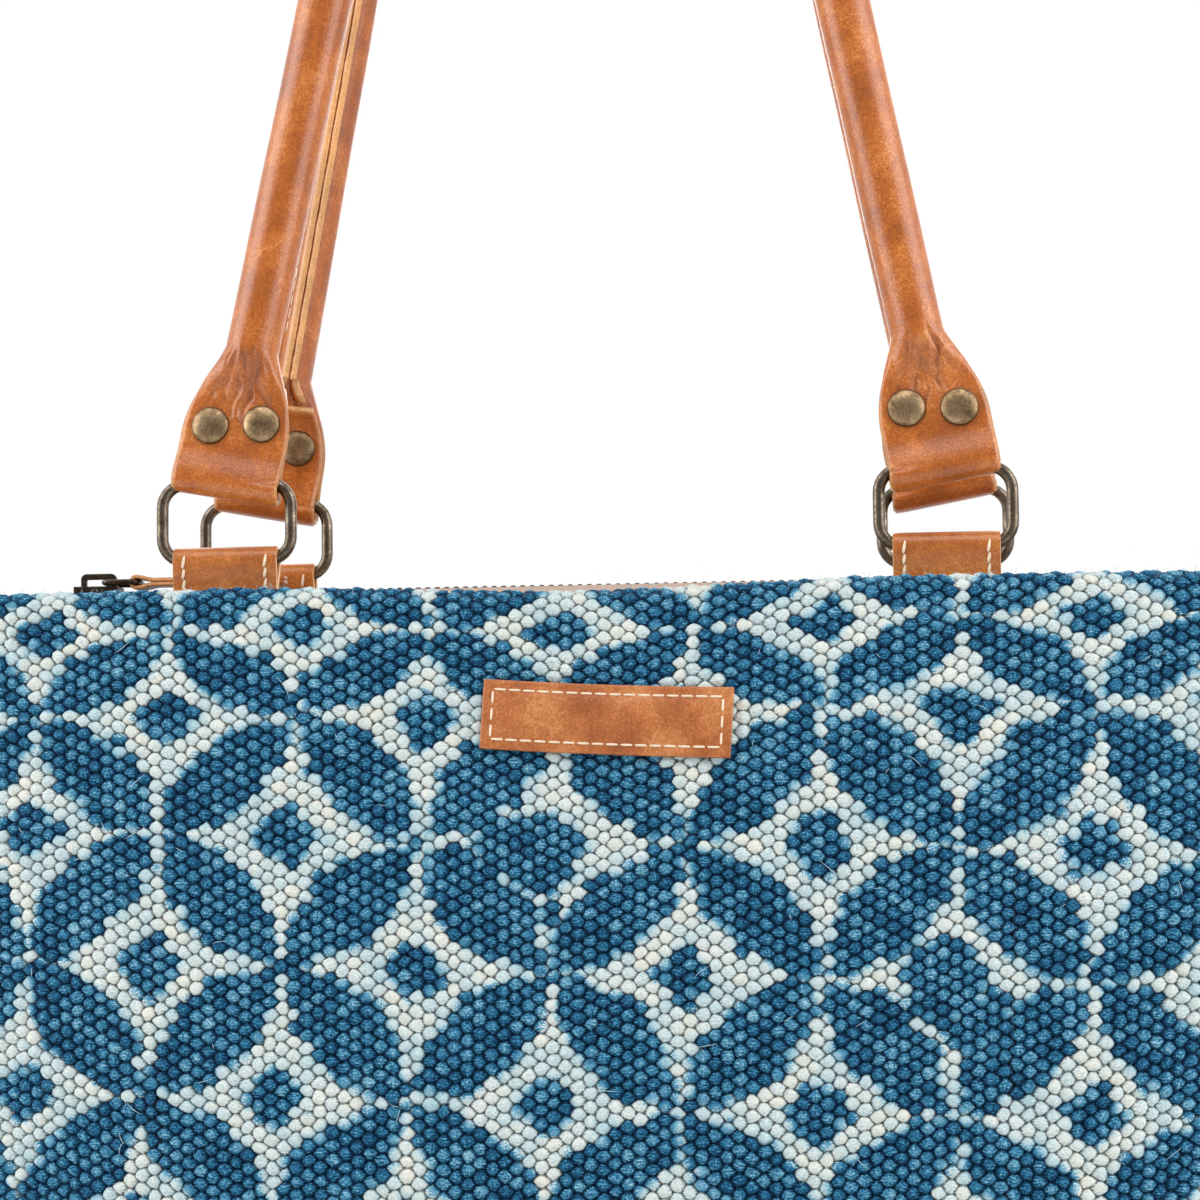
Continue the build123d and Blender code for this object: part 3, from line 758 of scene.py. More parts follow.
def on_patch(across, up, rise):
    """Places on the patch's outer face and its outward normals, rise above the leather."""
    x = patch_x + across * math.cos(patch_turn) + up * math.sin(patch_turn)
    z = bag_height - patch_drop - across * math.sin(patch_turn) + up * math.cos(patch_turn)
    places, outward = on_front(x, z)
    inner_x = np.clip(1 - abs(across) / half_across, 0, 1)
    inner_z = np.clip(1 - abs(up) / half_up, 0, 1)
    dome = patch_dome * np.sqrt(np.minimum(1, 3 * inner_x) * np.minimum(1, 2 * inner_z))
    return places + outward * (patch_stand + patch_thickness + dome + rise)[..., None], outward


def sewn_thread(name, seats, length, width):
    """One mesh of equal stitches, each lying along its seam with both ends sunk into the material."""
    places = []
    faces = []
    for middle, along, out in seats:
        along = Vector(along).normalized()
        out = Vector(out)
        out = (out - along * out.dot(along)).normalized()
        beside = along.cross(out)
        faces += tube_faces(len(stitch_profile), stitch_sides, len(places), flip=True)
        for share, wide, sink in stitch_profile:
            heart = Vector(middle) + along * (share * length) + out * (sink * width / 2)
            for side in range(stitch_sides):
                turn = 2 * math.pi * side / stitch_sides
                places.append(heart + (beside * math.cos(turn) + out * math.sin(turn)) * (wide * width / 2))
    return new_piece(name, places, faces)


bpy.ops.object.select_all(action="DESELECT")
bpy.ops.mesh.primitive_grid_add(x_subdivisions=patch_steps_across, y_subdivisions=patch_steps_up, size=1)
patch = bpy.context.object
patch.name = "leather_patch"
patch_flat = np.array([tuple(vertex.co) for vertex in patch.data.vertices])
patch_places = on_patch(patch_flat[:, 0] * patch_width, patch_flat[:, 1] * patch_height, 0)[0]
patch.data.vertices.foreach_set("co", patch_places.astype(np.float32).ravel())
patch.data.update()
apply_modifier(patch, "SOLIDIFY", thickness=patch_thickness, offset=-1, use_even_offset=True)
ease_edges(patch, patch_edge, cut_edge_deg)
patch.data.polygons.foreach_set("use_smooth", [True] * len(patch.data.polygons))

border = []
for side in (-1, 1):
    count = round(2 * half_across / stitch_pitch)
    for step in range(count):
        border.append((half_across * (2 * (step + 0.5) / count - 1), side * half_up, 1, 0))
    count = round(2 * half_up / stitch_pitch)
    for step in range(count):
        border.append((side * half_across, half_up * (2 * (step + 0.5) / count - 1), 0, 1))
across, up, across_way, up_way = np.array(border).T
seat_places, seat_out = on_patch(across, up, stitch_rise)
ahead_places = on_patch(across + stitch_rise * across_way, up + stitch_rise * up_way, stitch_rise)[0]
patch_seats = zip(seat_places, ahead_places - seat_places, seat_out)
patch_thread = sewn_thread("patch_thread", patch_seats, stitch_length, stitch_width)

# Tan leather: the sizes of its mottling, pores, pebbled grain and creases in millimetres, and how they show
mottle_size = 12
pore_size = 0.55
pebble_size = 1.1
pebble_edge = 0.22
crease_size = 4.2
crease_width = 0.09
worked_range = (0.42, 0.62)
pore_share = 0.4
pebble_tint = (-0.07, 0.02)
crease_tint = 0.12
hide_places = (0.32, 0.49, 0.66)
flesh_range = (0.36, 0.62, 0.72, 1.12)
grain_depth = 0.16 * mm
satin_range = (0.3, 0.7)
satin_less = 0.08
satin_more = 0.1
raw_edge = rgb("#F0B778")


def tan_leather(name, dark, mid, light, gloss):
    """Smooth vegetable-tanned leather: waxed, mottled by oil, finely creased, with pale cut edges."""
    material, add_node = new_material(name)
    place = add_node("TexCoord")["Object"]
    place = add_node("VectorMath", place, sockets={"Scale": 1 / mm}, operation="SCALE")[0]
    mottle = add_node(
        "TexNoise", place, sockets={"Scale": 1 / mottle_size, "Detail": 6.0, "Roughness": 0.6}
    )["Fac"]
    pores = add_node("TexNoise", place, sockets={"Scale": 1 / pore_size, "Detail": 2.0, "Roughness": 0.6})
    wander = add_node("VectorMath", pores["Color"], place, operation="ADD")[0]
    cells = []
    for size in (pebble_size, crease_size):
        sockets = {"Vector": wander, "Scale": 1 / size}
        cells.append(add_node("TexVoronoi", sockets=sockets, feature="DISTANCE_TO_EDGE")["Distance"])
    pebbles = add_node("MapRange", cells[0], 0.0, pebble_edge)[0]
    creases = add_node("MapRange", cells[1], 0.0, crease_width, 1.0, 0.0)[0]
    worked = add_node("MapRange", mottle, *worked_range)[0]
    creases = add_node("Math", creases, worked, operation="MULTIPLY")[0]
    blend = add_node("Mix", sockets={0: pore_share, 2: mottle, 3: pores["Fac"]}, data_type="FLOAT")[0]
    lines = add_node("MapRange", pebbles, 0.0, 1.0, *pebble_tint)[0]
    blend = add_node("Math", blend, lines, operation="ADD")[0]
    blend = add_node("Math", creases, crease_tint, blend, operation="MULTIPLY_ADD")[0]
    hide = add_node("ValToRGB", blend, stops=tuple(zip(hide_places, (dark, mid, light))))[0]
    fray = add_node("MapRange", blend, *flesh_range)[0]
    flesh = add_node("VectorMath", raw_edge[:3], sockets={"Scale": fray}, operation="SCALE")[0]
    cut = add_node("Attribute", attribute_name="raw")["Fac"]
    hide = add_node("Mix", sockets={0: cut, 6: hide, 7: flesh}, data_type="RGBA")[2]
    relief = add_node("Mix", sockets={0: pore_share, 2: pebbles, 3: pores["Fac"]}, data_type="FLOAT")[0]
    relief = add_node("Math", relief, creases, operation="SUBTRACT")[0]
    grain = add_node("Bump", sockets={"Height": relief, "Strength": 0.45, "Distance": grain_depth})[0]
    wax = add_node("Bump", sockets={"Height": relief, "Strength": 0.2, "Distance": grain_depth})[0]
    satin = add_node("MapRange", mottle, *satin_range, gloss - satin_less, gloss + satin_more)[0]
    waxed = {
        "Base Color": hide,
        "Roughness": satin,
        "Specular IOR Level": 0.2,
        "Normal": grain,
        "Coat Weight": 0.6,
        "Coat Roughness": 0.28,
        "Coat IOR": 1.75,
        "Coat Normal": wax,
    }
    add_node("OutputMaterial", add_node("BsdfPrincipled", sockets=waxed)[0])
    return material


patch_leather = tan_leather("patch_leather", rgb("#8E4716"), rgb("#B4662E"), rgb("#CE8850"), 0.52)

# Waxed cotton thread: cream, matt, with its two plies twisted round each other
ply_size = 0.5 * mm
ply_depth = 0.1 * mm
waxed_thread, add_node = new_material("waxed_cotton_thread")
place = add_node("TexCoord")["Object"]
ply = add_node("TexNoise", place, sockets={"Scale": 1 / ply_size, "Detail": 2.0})["Fac"]
cream = add_node("Mix", sockets={0: ply, 6: rgb("#E2CCAC"), 7: rgb("#F6E9D2")}, data_type="RGBA")[2]
twist = add_node("Bump", sockets={"Height": ply, "Strength": 0.4, "Distance": ply_depth})[0]
waxed = {"Base Color": cream, "Roughness": 0.8, "Normal": twist}
add_node("OutputMaterial", add_node("BsdfPrincipled", sockets=waxed)[0])
dress(patch, patch_leather, "bag", "patch_leather", "patch")
dress(patch_thread, waxed_thread, "bag", "patch_leather")

# Zip tapes: two strips of taupe twill sewn inside the hems and crowned up to the teeth along the middle.
# They keep clear of the loops at the mouth, and beyond the teeth they close against each other.
zip_rise = 1 * mm
zip_z = bag_height + zip_rise
tape_thickness = 0.9 * mm
tape_rise = 0.4 * mm
tape_least_width = 0.4 * mm
tape_inner_y = 2.3 * mm
tape_level_y = 9 * mm
tape_fallen_y = 30 * mm
tape_drop = 4.6 * mm
tape_drop_power = 0.8
tape_half_length = 205 * mm
tape_close_x = 158 * mm
tape_close_length = 10 * mm
tape_shut_y = 0.2 * mm
tape_wave = 0.3 * mm
tape_wave_run = 23 * mm
loop_x = 95.5 * mm
loop_width = 28 * mm
loop_room = 1 * mm
tape_loop_y = 24.3 * mm
tape_steps = 110
tape_rows = 12
hem_clear = 7.8 * mm
outline_steps = 200
mouth_x, mouth_y, _ = outline_quarter(bag_height, hem_clear, outline_steps)


def zip_tape(name, way):
    places = []
    for step in range(tape_steps + 1):
        x = tape_half_length * (2 * step / tape_steps - 1)
        edge = max(tape_shut_y + tape_least_width, float(np.interp(abs(x), mouth_x, -mouth_y)))
        if abs(abs(x) - loop_x) < loop_width / 2 + loop_room:
            edge = min(edge, tape_loop_y)
        closing = np.clip((abs(x) - tape_close_x) / tape_close_length, 0, 1)
        inner = tape_inner_y + (tape_shut_y - tape_inner_y) * closing
        for row in range(tape_rows + 1):
            share = row / tape_rows
            y = inner + (max(edge, inner + tape_least_width) - inner) * share
            fall = np.clip((y - tape_level_y) / (tape_fallen_y - tape_level_y), 0, 1)
            wave = tape_wave * math.sin(x / tape_wave_run + 2 * share) * share
            places.append((x, way * y, zip_z + tape_rise - tape_drop * fall**tape_drop_power + wave))
    faces = grid_faces(tape_steps + 1, tape_rows + 1)
    tape = new_piece(name, places, faces if way < 0 else [face[::-1] for face in faces])
    apply_modifier(tape, "SOLIDIFY", thickness=tape_thickness, offset=-1)
    return tape


# Cotton twill tape: matt taupe with fine slanting ribs, drawn at 1.2 mm so that they show
rib_pitch = 1.2 * mm
rib_slant = math.radians(52)
rib_depth = 0.2 * mm
rib_share = 0.5
waves_per_unit = 20 / (2 * math.pi)
wear_size = 6 * mm
twill_tape, add_node = new_material("cotton_twill_tape")
place = add_node("TexCoord")["Object"]
slant = add_node("Mapping", place, sockets={"Rotation": (0.0, 0.0, rib_slant)})[0]
rib_scale = 1 / (waves_per_unit * rib_pitch)
ribs = add_node("TexWave", slant, sockets={"Scale": rib_scale, "Distortion": 0.6})["Fac"]
wear = add_node("TexNoise", place, sockets={"Scale": 1 / wear_size, "Detail": 3.0})["Fac"]
twill = add_node("Mix", sockets={0: rib_share, 2: ribs, 3: wear}, data_type="FLOAT")[0]
taupe = add_node("Mix", sockets={0: twill, 6: rgb("#A28A79"), 7: rgb("#C9B2A1")}, data_type="RGBA")[2]
ribbed = add_node("Bump", sockets={"Height": ribs, "Strength": 0.4, "Distance": rib_depth})[0]
matt = {"Base Color": taupe, "Roughness": 0.9, "Normal": ribbed}
add_node("OutputMaterial", add_node("BsdfPrincipled", sockets=matt)[0])
dress(zip_tape("front_tape", -1), twill_tape, "bag", "zip_cloth", "zip_tape_front")
dress(zip_tape("back_tape", 1), twill_tape, "bag", "zip_cloth", "zip_tape_back")

# Zip teeth: small teeth pressed from dark brass and clamped one by one on the tapes' inner edges.
# The two rows are staggered, so that each tooth faces the gap between two others.
tooth_pitch = 2.6 * mm
tooth_width = 1.5 * mm
tooth_tip_y = 0.6 * mm
tooth_root_y = 3.2 * mm
tooth_height = 2.2 * mm
tooth_bevel = 0.3 * mm
zip_half_length = 149 * mm


def zip_teeth(name, way, start):
    bpy.ops.object.select_all(action="DESELECT")
    bpy.ops.mesh.primitive_cube_add(size=1)
    tooth = bpy.context.object
    bpy.ops.object.mode_set(mode="EDIT")
    bpy.ops.transform.resize(value=(tooth_width, tooth_root_y - tooth_tip_y, tooth_height))
    bpy.ops.mesh.bevel(offset=tooth_bevel, segments=1)
    bpy.ops.object.mode_set(mode="OBJECT")
    corners = [Vector(vertex.co) for vertex in tooth.data.vertices]
    sides = [tuple(polygon.vertices) for polygon in tooth.data.polygons]
    bpy.data.objects.remove(tooth)
    middle_y = way * (tooth_tip_y + tooth_root_y) / 2
    places = []
    faces = []
    for step in range(int(2 * zip_half_length / tooth_pitch)):
        middle = Vector((-zip_half_length + start + step * tooth_pitch, middle_y, zip_z))
        faces += [tuple(len(places) + corner for corner in side) for side in sides]
        places += [middle + corner for corner in corners]
    return new_piece(name, places, faces, smooth=False)


# Antique brass: the sizes of its rubbed places and fine scratches in millimetres, and how they show
rub_size = 3.5
scratch_size = 0.5
scratch_share = 0.4
scratch_depth = 0.05 * mm
plating_places = (0.34, 0.52, 0.7)
dull_range = (0.35, 0.65)
dull_more = 0.1
dull_less = 0.06


def antique_metal(name, patina, warm, bright, roughness):
    """Brass plated dark and rubbed back: brown-black patina, warm and brighter where handled, darker where a
    mark gives patina and painted shade.
    """
    material, add_node = new_material(name)
    place = add_node("TexCoord")["Object"]
    place = add_node("VectorMath", place, sockets={"Scale": 1 / mm}, operation="SCALE")[0]
    rubbed = add_node(
        "TexNoise", place, sockets={"Scale": 1 / rub_size, "Detail": 5.0, "Roughness": 0.6}
    )["Fac"]
    fine = add_node("TexNoise", place, sockets={"Scale": 1 / scratch_size, "Detail": 3.0})["Fac"]
    blend = add_node("Mix", sockets={0: scratch_share, 2: rubbed, 3: fine}, data_type="FLOAT")[0]
    plating = add_node("ValToRGB", blend, stops=tuple(zip(plating_places, (patina, warm, bright))))[0]
    # Patina and painted shade: where the mark is given, the colour is drawn to the patina colour
    patina_and_shade = add_node("Attribute", attribute_name="patina_and_shade")["Fac"]
    plating = add_node("Mix", sockets={0: patina_and_shade, 6: plating, 7: patina}, data_type="RGBA")[2]
    dull = add_node("MapRange", blend, *dull_range, roughness + dull_more, roughness - dull_less)[0]
    scratch = add_node("Bump", sockets={"Height": fine, "Strength": 0.12, "Distance": scratch_depth})[0]
    metal = {"Base Color": plating, "Metallic": 1.0, "Roughness": dull, "Normal": scratch}
    add_node("OutputMaterial", add_node("BsdfPrincipled", sockets=metal)[0])
    return material


zip_metal = antique_metal("dark_zip_brass", rgb("#2E2822"), rgb("#463C32"), rgb("#6B6054"), 0.42)
dress(zip_teeth("front_teeth", -1, 0), zip_metal, "bag", "zip_metal", "zip_teeth_front")
dress(zip_teeth("back_teeth", 1, tooth_pitch / 2), zip_metal, "bag", "zip_metal", "zip_teeth_back")

# Slider: a die-cast body in dark brass, whose turned-in sides run on the teeth.
# An arched bail on its top holds the pull ring, and all its edges are eased.
weld_gap = 0.002 * mm
flat_deg = 3
slider_edge = 0.35 * mm
slider_sharp_deg = 40
slider_piece = bpy.data.objects.new("slider_body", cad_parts["zip_slider"].data.copy())
bpy.context.scene.collection.objects.link(slider_piece)
slider_piece.data.materials.clear()
select_only(slider_piece)
bpy.ops.object.mode_set(mode="EDIT")
bpy.ops.mesh.select_all(action="SELECT")
bpy.ops.mesh.remove_doubles(threshold=weld_gap)
bpy.ops.mesh.dissolve_limited(angle_limit=math.radians(flat_deg))
bpy.ops.object.mode_set(mode="OBJECT")
ease_edges(slider_piece, slider_edge, slider_sharp_deg)
slider_piece.data.polygons.foreach_set("use_smooth", [False] * len(slider_piece.data.polygons))
dress(slider_piece, zip_metal, "zip_slider", "zip_metal", "zip_slider")


def wire_loop(name, corners, corner_radius, wire_radius, steps, sides):
    """Round wire bent into a closed shape with rounded corners; corners lie in one plane, in order."""
    corners = [Vector(corner) for corner in corners]
    path = []
    for index, corner in enumerate(corners):
        before = (corners[index - 1] - corner).normalized()
        after = (corners[(index + 1) % len(corners)] - corner).normalized()
        middle = corner + (before + after) * corner_radius
        for step in range(steps + 1):
            turn = math.pi / 2 * step / steps
            path.append(middle - (after * math.cos(turn) + before * math.sin(turn)) * corner_radius)
    flat_normal = (corners[1] - corners[0]).cross(corners[2] - corners[1]).normalized()
    places = []
    for index, point in enumerate(path):
        along = (path[(index + 1) % len(path)] - path[index - 1]).normalized()
        beside = along.cross(flat_normal)
        for side in range(sides):
            turn = 2 * math.pi * side / sides
            places.append(point + (beside * math.cos(turn) + flat_normal * math.sin(turn)) * wire_radius)
    wire = new_piece(name, places, tube_faces(len(path), sides, closed=True))
    face_outward(wire)
    return wire


# Pull ring: thin dark brass wire bent to a small rectangle with rounded corners.
# It hangs under the slider's bail and carries the leather pull.
pull_low, pull_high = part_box("zip_pull_ring")
pull_wire = 0.75 * mm
pull_corner = 1.6 * mm
pull_steps = 5
pull_sides = 12
pull_z = (pull_low[2] + pull_high[2]) / 2
near_x = pull_low[0] + pull_wire
far_x = pull_high[0] - pull_wire
pull_half_y = pull_high[1] - pull_wire
pull_ring_corners = [
    (near_x, -pull_half_y, pull_z),
    (far_x, -pull_half_y, pull_z),
    (far_x, pull_half_y, pull_z),
    (near_x, pull_half_y, pull_z),
]
pull_ring = wire_loop("pull_ring", pull_ring_corners, pull_corner, pull_wire, pull_steps, pull_sides)
dress(pull_ring, zip_metal, "zip_pull_ring", "zip_metal", "zip_pull_ring")

# Folded strips of leather, for the zip pull and the loops: how their edges are eased and show the raw cut
strip_steps = 14
strip_edge = 0.28 * mm
taper_from = 0.86
raw_strength = 0.85
raw_from = 0.99
raw_fade = 0.008


def folded_strip(name, profile, half_width, leather, place, taper=0):
    """A leather strip that follows a profile in its local Y and Z, as wide as local X, with eased edges."""
    places = []
    for index, (y, z) in enumerate(profile):
        end_share = abs(2 * index / (len(profile) - 1) - 1)
        narrow = 1 - taper * max(0, (end_share - taper_from) / (1 - taper_from))
        for step in range(strip_steps + 1):
            places.append((half_width * narrow * (2 * step / strip_steps - 1), y, z))
    strip = new_piece(name, places, grid_faces(len(profile), strip_steps + 1))
    apply_modifier(strip, "SOLIDIFY", thickness=leather, offset=0, use_even_offset=True)
    ease_edges(strip, strip_edge, cut_edge_deg)
    out_shares = [abs(vertex.co.x) / half_width for vertex in strip.data.vertices]
    raw = [raw_strength * max(0, min(1, (out - raw_from) / raw_fade)) for out in out_shares]
    give_values(strip, "raw", raw)
    strip.data.transform(place)
    face_outward(strip)
    return strip


def fold_profile(leg, wrap_radius, leg_y, part_length, leg_steps, wrap_steps):
    """Centre line of a strip laid over a bar at the origin: up one leg, over it and down the other."""
    rising = []
    for step in range(leg_steps + 1):
        z = -leg + leg * step / leg_steps
        rising.append((-(leg_y + (wrap_radius - leg_y) * smooth_step(-part_length, 0, z)), z))
    over = []
    for step in range(1, wrap_steps):
        turn = math.pi * step / wrap_steps
        over.append((-wrap_radius * math.cos(turn), wrap_radius * math.sin(turn)))
    return rising + over + [(-y, z) for y, z in reversed(rising)]


# Zip pull: a narrow strip of the handles' tan leather, folded round the pull ring with its two layers
# lying on each other. Its ends are cut narrower.
pull_thickness = 1.1 * mm
pull_length = 41 * mm
pull_half_width = 4 * mm
pull_wire_room = 0.2 * mm
pull_wrap = pull_wire + pull_wire_room + pull_thickness / 2
pull_leg_y = 0.52 * pull_thickness
pull_part = 5 * mm
pull_taper = 0.45
pull_leg_steps = 26
pull_wrap_steps = 10
pull_profile = fold_profile(pull_length, pull_wrap, pull_leg_y, pull_part, pull_leg_steps, pull_wrap_steps)
pull_turn = Matrix(((0, 0, -1), (-1, 0, 0), (0, 1, 0))).to_4x4()
pull_place = Matrix.Translation((far_x, 0, pull_z)) @ pull_turn
leather_pull = folded_strip(
    "leather_pull", pull_profile, pull_half_width, pull_thickness, pull_place, pull_taper
)
handle_leather = tan_leather("handle_leather", rgb("#8C4304"), rgb("#B55E0C"), rgb("#D28038"), 0.4)
dress(leather_pull, handle_leather, "zip_pull", "handle_leather", "zip_pull")

# Loops: four straps of tan leather folded over the rings' lower bars, both ends sewn inside the mouth hem.
# A row of cream stitches runs down each side and holds the two layers together.
bar_y = 26.7765 * mm
lower_bar_z = bag_height + 8.3 * mm
loop_thickness = 1.6 * mm
loop_leg = 29.5 * mm
loop_hem_depth = 21.7 * mm
ring_wire = 1.6 * mm
wire_room = 0.4 * mm
loop_wrap = ring_wire + wire_room + loop_thickness / 2
loop_leg_y = 0.51 * loop_thickness
loop_part = 8 * mm
loop_leg_steps = 18
loop_wrap_steps = 12
loop_stitches = 8
loop_stitch_start = 0.9 * mm
loop_stitch_inset = 3 * mm
loop_stitch_pitch = 2.75 * mm
loop_stitch_length = 3.6 * mm
loop_stitch_slant = 0.16
loop_stitch_width = 0.8 * mm
loop_profile = fold_profile(loop_leg, loop_wrap, loop_leg_y, loop_part, loop_leg_steps, loop_wrap_steps)
leg_profile_y, leg_profile_z = zip(*loop_profile[: loop_leg_steps + 1])
loop_edge_x = loop_x + loop_width / 2
hem_y = []
for level in (bag_height, bag_height - loop_hem_depth):
    hem_outline = outline_quarter(level, 2 * cloth_thickness, outline_steps)
    hem_y.append(float(np.interp(loop_edge_x, hem_outline[0], hem_outline[1])))
hem_lean = math.atan((hem_y[0] - hem_y[1]) / loop_hem_depth)
loop_leather = tan_leather("loop_leather", rgb("#92490C"), rgb("#B9671C"), rgb("#D28842"), 0.48)
ring_spots = []
for side, way in (("front", -1), ("back", 1)):
    for hand, sign in (("left", -1), ("right", 1)):
        ring_spots.append((f"{side}_{hand}", way, Vector((sign * loop_x, way * bar_y, lower_bar_z))))
for spot, way, bar_middle in ring_spots:
    place = Matrix.Translation(bar_middle) @ Matrix.Rotation(way * hem_lean, 4, "X")
    turned = place.to_3x3()
    strap = folded_strip(f"{spot}_strap", loop_profile, loop_width / 2, loop_thickness, place)
    dress(strap, loop_leather, "bag", "loop_leather", f"{spot}_loop")
    seats = []
    for face in (-1, 1):
        for edge in (-1, 1):
            for step in range(loop_stitches):
                z = -loop_stitch_start - step * loop_stitch_pitch
                y = float(np.interp(z, leg_profile_z, leg_profile_y)) - loop_thickness / 2
                seat = place @ Vector((edge * (loop_width / 2 - loop_stitch_inset), -face * y, z))
                along = turned @ Vector((loop_stitch_slant, 0, 1))
                seats.append((seat, along, turned @ Vector((0, face, 0))))
    strap_thread = sewn_thread(f"{spot}_strap_thread", seats, loop_stitch_length, loop_stitch_width)
    dress(strap_thread, waxed_thread, "bag", "loop_leather")

# Rings: heavy wire bent to a rounded rectangle, welded, and finished in dark antique brass.
# Each hangs in a loop by its lower bar and carries a handle's tab on its upper bar.
ring_outer_half = 19 * mm
ring_half_width = ring_outer_half - ring_wire
ring_bar_to_bar = 20.6 * mm
ring_corner = 6.2 * mm
ring_corner_steps = 8
ring_sides = 16
ring_metal = antique_metal("antique_ring_brass", rgb("#453C33"), rgb("#73675A"), rgb("#A89A84"), 0.32)
for spot, way, bar_middle in ring_spots:
    corners = [
        bar_middle + Vector((-ring_half_width, 0, 0)),
        bar_middle + Vector((ring_half_width, 0, 0)),
        bar_middle + Vector((ring_half_width, 0, ring_bar_to_bar)),
        bar_middle + Vector((-ring_half_width, 0, ring_bar_to_bar)),
    ]
    wire = wire_loop(f"{spot}_wire", corners, ring_corner, ring_wire, ring_corner_steps, ring_sides)
    dress(wire, ring_metal, f"{spot}_ring", "ring_metal", f"{spot}_ring")

# Handles: each is one long strip of tan leather, rolled flesh side in and sewn along its inner side, its
# ends left flat as tabs that are gathered under the roll, folded round a ring and riveted to themselves.
roll_radius = 7.2 * mm
neck_x = 88.9 * mm
neck_z = 36 * mm
tab_half_width = 14.4 * mm
tab_layer = 2.2 * mm
layer_room = 0.05 * mm
leg_lean = math.radians(11.2)
leg_length = 138.6 * mm
handle_lean = math.radians(4.1752)
upper_bar_z = lower_bar_z + ring_bar_to_bar
flap_top = 28 * mm
flap_inset = 0.4 * mm
flap_press_share = 0.9
rivet_z = 15.5 * mm
shoulder_top = 36 * mm
shoulder_bottom = 12 * mm
shoulder_power = 1.15
layer_y = tab_layer / 2 + layer_room
fold_y = ring_wire + wire_room + tab_layer / 2
part_z = 9 * mm
round_section = 2
flat_section = 7
section_sides = 80
crest_steps = 20
leg_steps = 30
leg_step_power = 1.7
tab_steps = 30
tab_end_z = 8 * mm
fold_levels = (6.5 * mm, 5 * mm, 3.5 * mm, 2 * mm, 1 * mm)
fold_steps = 12
flap_shares = (0.04, 0.08, 0.13, 0.18, 0.24, 0.3, 0.38, 0.46, 0.54, 0.62, 0.7, 0.77)
flap_shares += (0.84, 0.9, 0.94, 0.975, 1.0)
bend_x = neck_x - leg_length * math.sin(leg_lean)
bend_z = neck_z + leg_length * math.cos(leg_lean)
crest_radius = bend_x / math.cos(leg_lean)
crest_middle_z = bend_z - crest_radius * math.sin(leg_lean)


def tab_station(z, layer):
    """One cross-section of a tab at height z on its front (-1) or return (1) layer."""
    down = min(1.0, max(0.0, (shoulder_top - z) / (shoulder_top - shoulder_bottom)))
    half_wide = roll_radius + (tab_half_width - roll_radius) * math.sin(down * math.pi / 2) ** shoulder_power
    flattened = (1 - smooth_step(0, 0.7, down)) ** shoulder_power
    half_thick = tab_layer / 2 + (roll_radius - tab_layer / 2) * flattened
    offset = layer_y * smooth_step(0.1, 0.9, down)
    offset += (fold_y - layer_y) * (1 - smooth_step(0, part_z, z))
    middle_x = loop_x + (neck_x - loop_x) * max(0.0, z) / neck_z
    squareness = round_section + (flat_section - round_section) * smooth_step(0.15, 0.85, down)
    return (Vector((middle_x, layer * offset, z)), half_wide, half_thick, squareness)


# Stations along the right half of the strip, from the crest to the end of the return flap
half_stations = []
crest_turn = math.pi / 2 - leg_lean
for step in range(crest_steps + 1):
    turn = crest_turn * step / crest_steps
    heart = Vector((crest_radius * math.sin(turn), 0, crest_middle_z + crest_radius * math.cos(turn)))
    half_stations.append((heart, roll_radius, roll_radius, round_section, turn))
for step in range(1, leg_steps + 1):
    share = 1 - (1 - step / leg_steps) ** leg_step_power
    heart = Vector((bend_x + (neck_x - bend_x) * share, 0, bend_z + (neck_z - bend_z) * share))
    half_stations.append((heart, roll_radius, roll_radius, round_section, crest_turn))
tab_turn = math.pi / 2 - math.atan((loop_x - neck_x) / neck_z)
tab_levels = [
    shoulder_top - (shoulder_top - tab_end_z) * step / tab_steps for step in range(1, tab_steps + 1)
]
for z in (*tab_levels, *fold_levels):
    half_stations.append((*tab_station(z, -1), tab_turn))
for step in range(fold_steps + 1):
    turn = math.pi * step / fold_steps
    heart = Vector((loop_x, -fold_y * math.cos(turn), -fold_y * math.sin(turn)))
    half_stations.append((heart, tab_half_width, tab_layer / 2, flat_section, tab_turn))
for share in flap_shares:
    z = share * flap_top
    front_heart, front_wide, front_thick, _ = tab_station(z, -1)
    heart = tab_station(min(z, shoulder_bottom), 1)[0]
    rest_y = max(heart.y, front_heart.y + front_thick + flap_press_share * tab_layer / 2)
    heart = Vector((front_heart.x, rest_y, z))
    half_stations.append((heart, front_wide - flap_inset, tab_layer / 2, flat_section, tab_turn))

# Gathers: where across the tab each crease runs, how wide and deep it is, where it ends above and below,
# and how far it leans across for each millimetre of height
gathers = (
    (-0.7, 0.085, 0.45 * mm, 36 * mm, 19 * mm, 0.004),
    (-0.46, 0.07, 0.8 * mm, 38 * mm, 16 * mm, 0.012),
    (-0.24, 0.065, 0.9 * mm, 36 * mm, 14 * mm, -0.01),
    (-0.05, 0.065, 1.05 * mm, 38 * mm, 11 * mm, 0.008),
    (0.13, 0.07, 0.85 * mm, 36 * mm, 13 * mm, -0.014),
    (0.33, 0.065, 1.0 * mm, 37 * mm, 16 * mm, 0.01),
    (0.56, 0.08, 0.75 * mm, 38 * mm, 17 * mm, -0.012),
)
gather_middle_z = 26 * mm
gather_foot = 9 * mm
gather_head = 7 * mm
gather_front_y = 0.3 * mm
gather_depth_run = 1.9 * mm
sways = ((0.08, 2.7 * mm, 1), (0.045, 1.3 * mm, 3))
swell_share = 0.008
swell_run_z = 9 * mm
swell_run_x = 7 * mm


